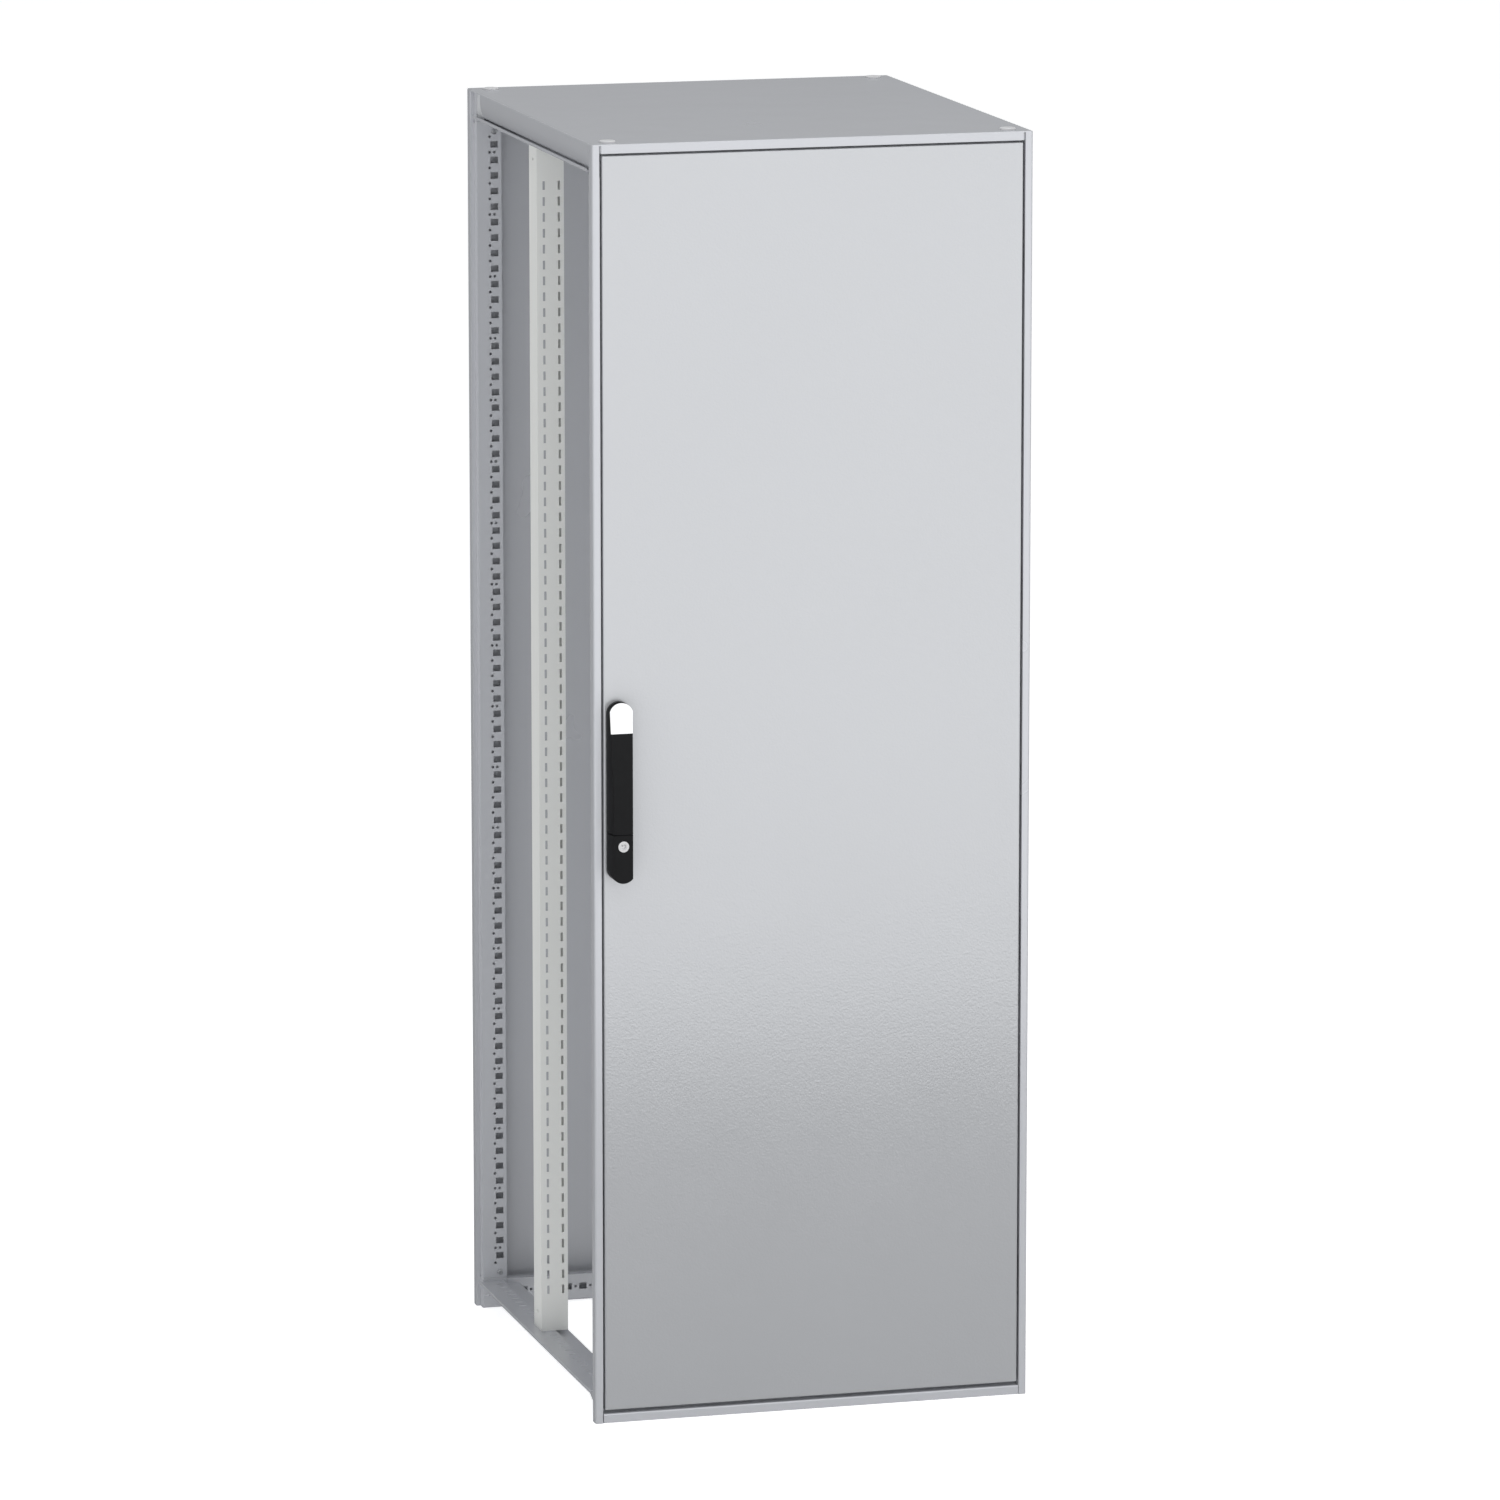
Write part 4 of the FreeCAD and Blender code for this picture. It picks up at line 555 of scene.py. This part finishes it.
roof = bmesh.new()
under_roof = cab_high.z - ROOF_SHEET * MM
add_skirt(roof, under_roof)
bmesh.ops.recalc_face_normals(roof, faces=roof.faces)
twin = bmesh.ops.duplicate(roof, geom=roof.verts[:] + roof.edges[:] + roof.faces[:])["geom"]
bmesh.ops.scale(roof, verts=[g for g in twin if isinstance(g, bmesh.types.BMVert)], vec=(-1.0, 1.0, 1.0))
bmesh.ops.recalc_face_normals(roof, faces=roof.faces)
strip_end = cab_high.x - (RIM_WIDE + STRIP_GROOVE) * MM
for y in (cab_low.y, cab_high.y - ROOF_SHEET * MM):
    strip = add_box(roof, (-strip_end, y, cab_high.z - STRIP_TALL * MM),
                    (strip_end, y + ROOF_SHEET * MM, under_roof))
    strip_edges = edges_between(strip, lambda v: True)
    tall = [e for e in strip_edges if abs(e.verts[0].co.z - e.verts[1].co.z) > 1.0 * MM]
    round_off(roof, [e for e in tall if abs(abs(e.verts[0].co.y) - cab_high.y) < 1e-6], STRIP_ROUND)
sheet_verts = add_box(roof, (cab_low.x, cab_low.y, under_roof), cab_high)
sheet_edges = edges_between(sheet_verts, lambda v: True)
round_off(roof, [e for e in sheet_edges if abs(e.verts[0].co.z - e.verts[1].co.z) > 1.0 * MM],
          OUTER_ROUND, 5)
rim = [e for e in roof.edges if all(abs(v.co.z - cab_high.z) < 1e-6 for v in e.verts)]
round_off(roof, rim, RIM_ROUND)
print("roof:", len(roof.faces), "faces,", sum(not e.is_manifold for e in roof.edges), "open edges")
make_piece("roof_sheet", roof, "roof_panel")

# %% [markdown]
# ## Roof caps
# A moulded cap snaps over each roof screw. It is a turned shape, so half of its section is drawn once and
# spun; the rolled rim is what shows as a bright line.

# %% Turned pieces


def turned(shape, profile, place, axis="Z", steps=40):
    """Spins a half section of (radius, height) points, in millimetres, and sets it on an axis."""
    turn = {"Z": Matrix(), "X": Matrix.Rotation(math.radians(90.0), 4, "Y"),
            "-Y": Matrix.Rotation(math.radians(90.0), 4, "X"),
            "-X": Matrix.Rotation(math.radians(-90.0), 4, "Y"),
            "Y": Matrix.Rotation(math.radians(-90.0), 4, "X"),
            "-Z": Matrix.Rotation(math.radians(180.0), 4, "X")}[axis]
    before = set(shape.verts)
    dots = [shape.verts.new((radius * MM, 0.0, height * MM)) for radius, height in profile]
    line = [shape.edges.new(pair) for pair in zip(dots, dots[1:])]
    bmesh.ops.spin(shape, geom=dots + line, cent=(0.0, 0.0, 0.0), axis=(0.0, 0.0, 1.0),
                   angle=math.tau, steps=steps, use_merge=True, use_duplicate=False)
    fresh = [v for v in shape.verts if v not in before]
    bmesh.ops.transform(shape, verts=fresh, matrix=Matrix.Translation(place) @ turn)


def arc(centre, radius, start, end, count):
    """Points of an arc in a section, for its round stretches."""
    steps = [math.radians(start + (end - start) * i / count) for i in range(count + 1)]
    return [(centre[0] + radius * math.cos(a), centre[1] + radius * math.sin(a)) for a in steps]


# %% Caps
cap_low, cap_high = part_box("roof_plugs")
CAP_RADIUS = 12.5
CAP_TALL = 3.2
cap_section = [(0.0, CAP_TALL), (4.0, CAP_TALL - 0.05), (8.0, CAP_TALL - 0.3)]
cap_section += arc((10.9, CAP_TALL - 1.9), 1.6, 80.0, 0.0, 6)
cap_section += [(CAP_RADIUS, 0.5), (CAP_RADIUS - 0.2, 0.02), (11.0, 0.02), (11.0, 1.3), (0.0, 1.8)]
caps = bmesh.new()
for x in (cap_low.x + CAP_RADIUS * MM, cap_high.x - CAP_RADIUS * MM):
    for y in (cap_low.y + CAP_RADIUS * MM, cap_high.y - CAP_RADIUS * MM):
        turned(caps, cap_section, (x, y, cap_low.z))
make_piece("roof_caps", caps, "roof_plugs", spun=True)
print("four caps spun")

# %% [markdown]
# ## Screws
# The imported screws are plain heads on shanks. Here each gets a domed pan head with a sunk drive, spun from
# one half section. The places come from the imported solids, found as the islands of the welded node.

# %% Islands of a node


def islands(node):
    """The low and high corner of every separate solid in a node."""
    shape = copy_of(node)
    left = set(shape.verts)
    boxes = []
    while left:
        waiting = [left.pop()]
        island = []
        while waiting:
            vert = waiting.pop()
            island.append(vert.co.copy())
            for edge in vert.link_edges:
                other = edge.other_vert(vert)
                if other in left:
                    left.remove(other)
                    waiting.append(other)
        boxes.append((Vector(map(min, zip(*island))), Vector(map(max, zip(*island)))))
    shape.free()
    return boxes


def pan_head(radius, tall, shank, length, socket):
    """Half section of a screw with a domed head and a sunk drive; z = 0 is the head's seat."""
    section = [(0.0, tall * 0.45), (socket * 0.9, tall * 0.5), (socket, tall * 0.96)]
    section += [(radius * 0.62, tall), (radius * 0.85, tall * 0.86), (radius * 0.97, tall * 0.55)]
    section += [(radius, tall * 0.2), (radius * 0.96, 0.0)]
    return section + [(shank, 0.0), (shank, -length), (0.0, -length)]


def screw_set(node, axis_of, radius=None, tall=3.0, shank=3.0):
    """Pan-head screws where a node's plain ones are."""
    shape = bmesh.new()
    for low, high in islands(node):
        axis = axis_of(low, high)
        index = "XYZ".index(axis[-1])
        middle = (low + high) / 2
        seat = middle.copy()
        forward = not axis.startswith("-")
        seat[index] = high[index] - tall * MM if forward else low[index] + tall * MM
        across = (high - low)[(index + 1) % 3] / 2 / MM
        length = (high - low)[index] / MM - tall
        turned(shape, pan_head(radius or across, tall, min(shank, across * 0.6), length, across * 0.42),
               seat, axis, 24)
    return make_piece(node.replace("_screws", "_pan_screws"), shape, node, spun=True)


screw_set("rear_panel_screws", lambda low, high: "-Y", radius=4.6)
screw_set("handle_screws", lambda low, high: "Y")


def bracket_axis(low, high):
    """The foot screws stand on the rails; the side screws go into the inner uprights."""
    if (high - low).z < (high - low).x:
        return "Z" if low.z < cab_high.z / 2 else "-Z"
    return "X" if low.x < 0.0 else "-X"


screw_set("inner_upright_screws", bracket_axis)

# %% [markdown]
# ## Door seal
# The seal is a foamed bead with a D section, laid round the door and mitred at its corners. One section
# stands at each corner, and bridging the four loops makes the closed ring.

# %% Door seal
seal_low, seal_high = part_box("door_seal")
bead = [(5.8, 0.02), (5.8, 1.8)] + arc((3.0, 1.85), 2.78, 15.0, 165.0, 8) + [(0.2, 1.8), (0.2, 0.02)]
seal = bmesh.new()
loops = []
for x, z, right, up in ((seal_low.x, seal_low.z, 1, 1), (seal_high.x, seal_low.z, -1, 1),
                        (seal_high.x, seal_high.z, -1, -1), (seal_low.x, seal_high.z, 1, -1)):
    dots = [seal.verts.new((x + right * inward * MM, seal_low.y + out * MM, z + up * inward * MM))
            for inward, out in bead]
    loops.append([seal.edges.new(pair) for pair in zip(dots, dots[1:] + dots[:1])])
for first, second in zip(loops, loops[1:] + loops[:1]):
    bmesh.ops.bridge_loops(seal, edges=first + second)
bmesh.ops.recalc_face_normals(seal, faces=seal.faces)
print("seal:", len(seal.faces), "faces")
make_piece("door_foam_seal", seal, "door_seal")

# %% [markdown]
# ## Clean shading for the nodes that stay
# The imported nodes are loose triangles. Welding them, splitting them at their true corners and weighting the
# normals by area shows a flat as flat and a turned part as round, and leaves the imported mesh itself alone.

# %% Shade the other nodes
def shade_cleanly(name):
    """Welds, splits at corners and weights the normals, all in modifiers."""
    item = nodes[name]
    for polygon in item.data.polygons:
        polygon.use_smooth = True
    weld = item.modifiers.new("weld", "WELD")
    weld.merge_threshold = WELD * MM
    corners = item.modifiers.new("corners", "EDGE_SPLIT")
    corners.split_angle = SHARP
    item.modifiers.new("flat_shading", "WEIGHTED_NORMAL")


shown = [name for name, item in nodes.items() if not item.hide_render]
for name in shown:
    shade_cleanly(name)
print(len(shown), "nodes shaded")
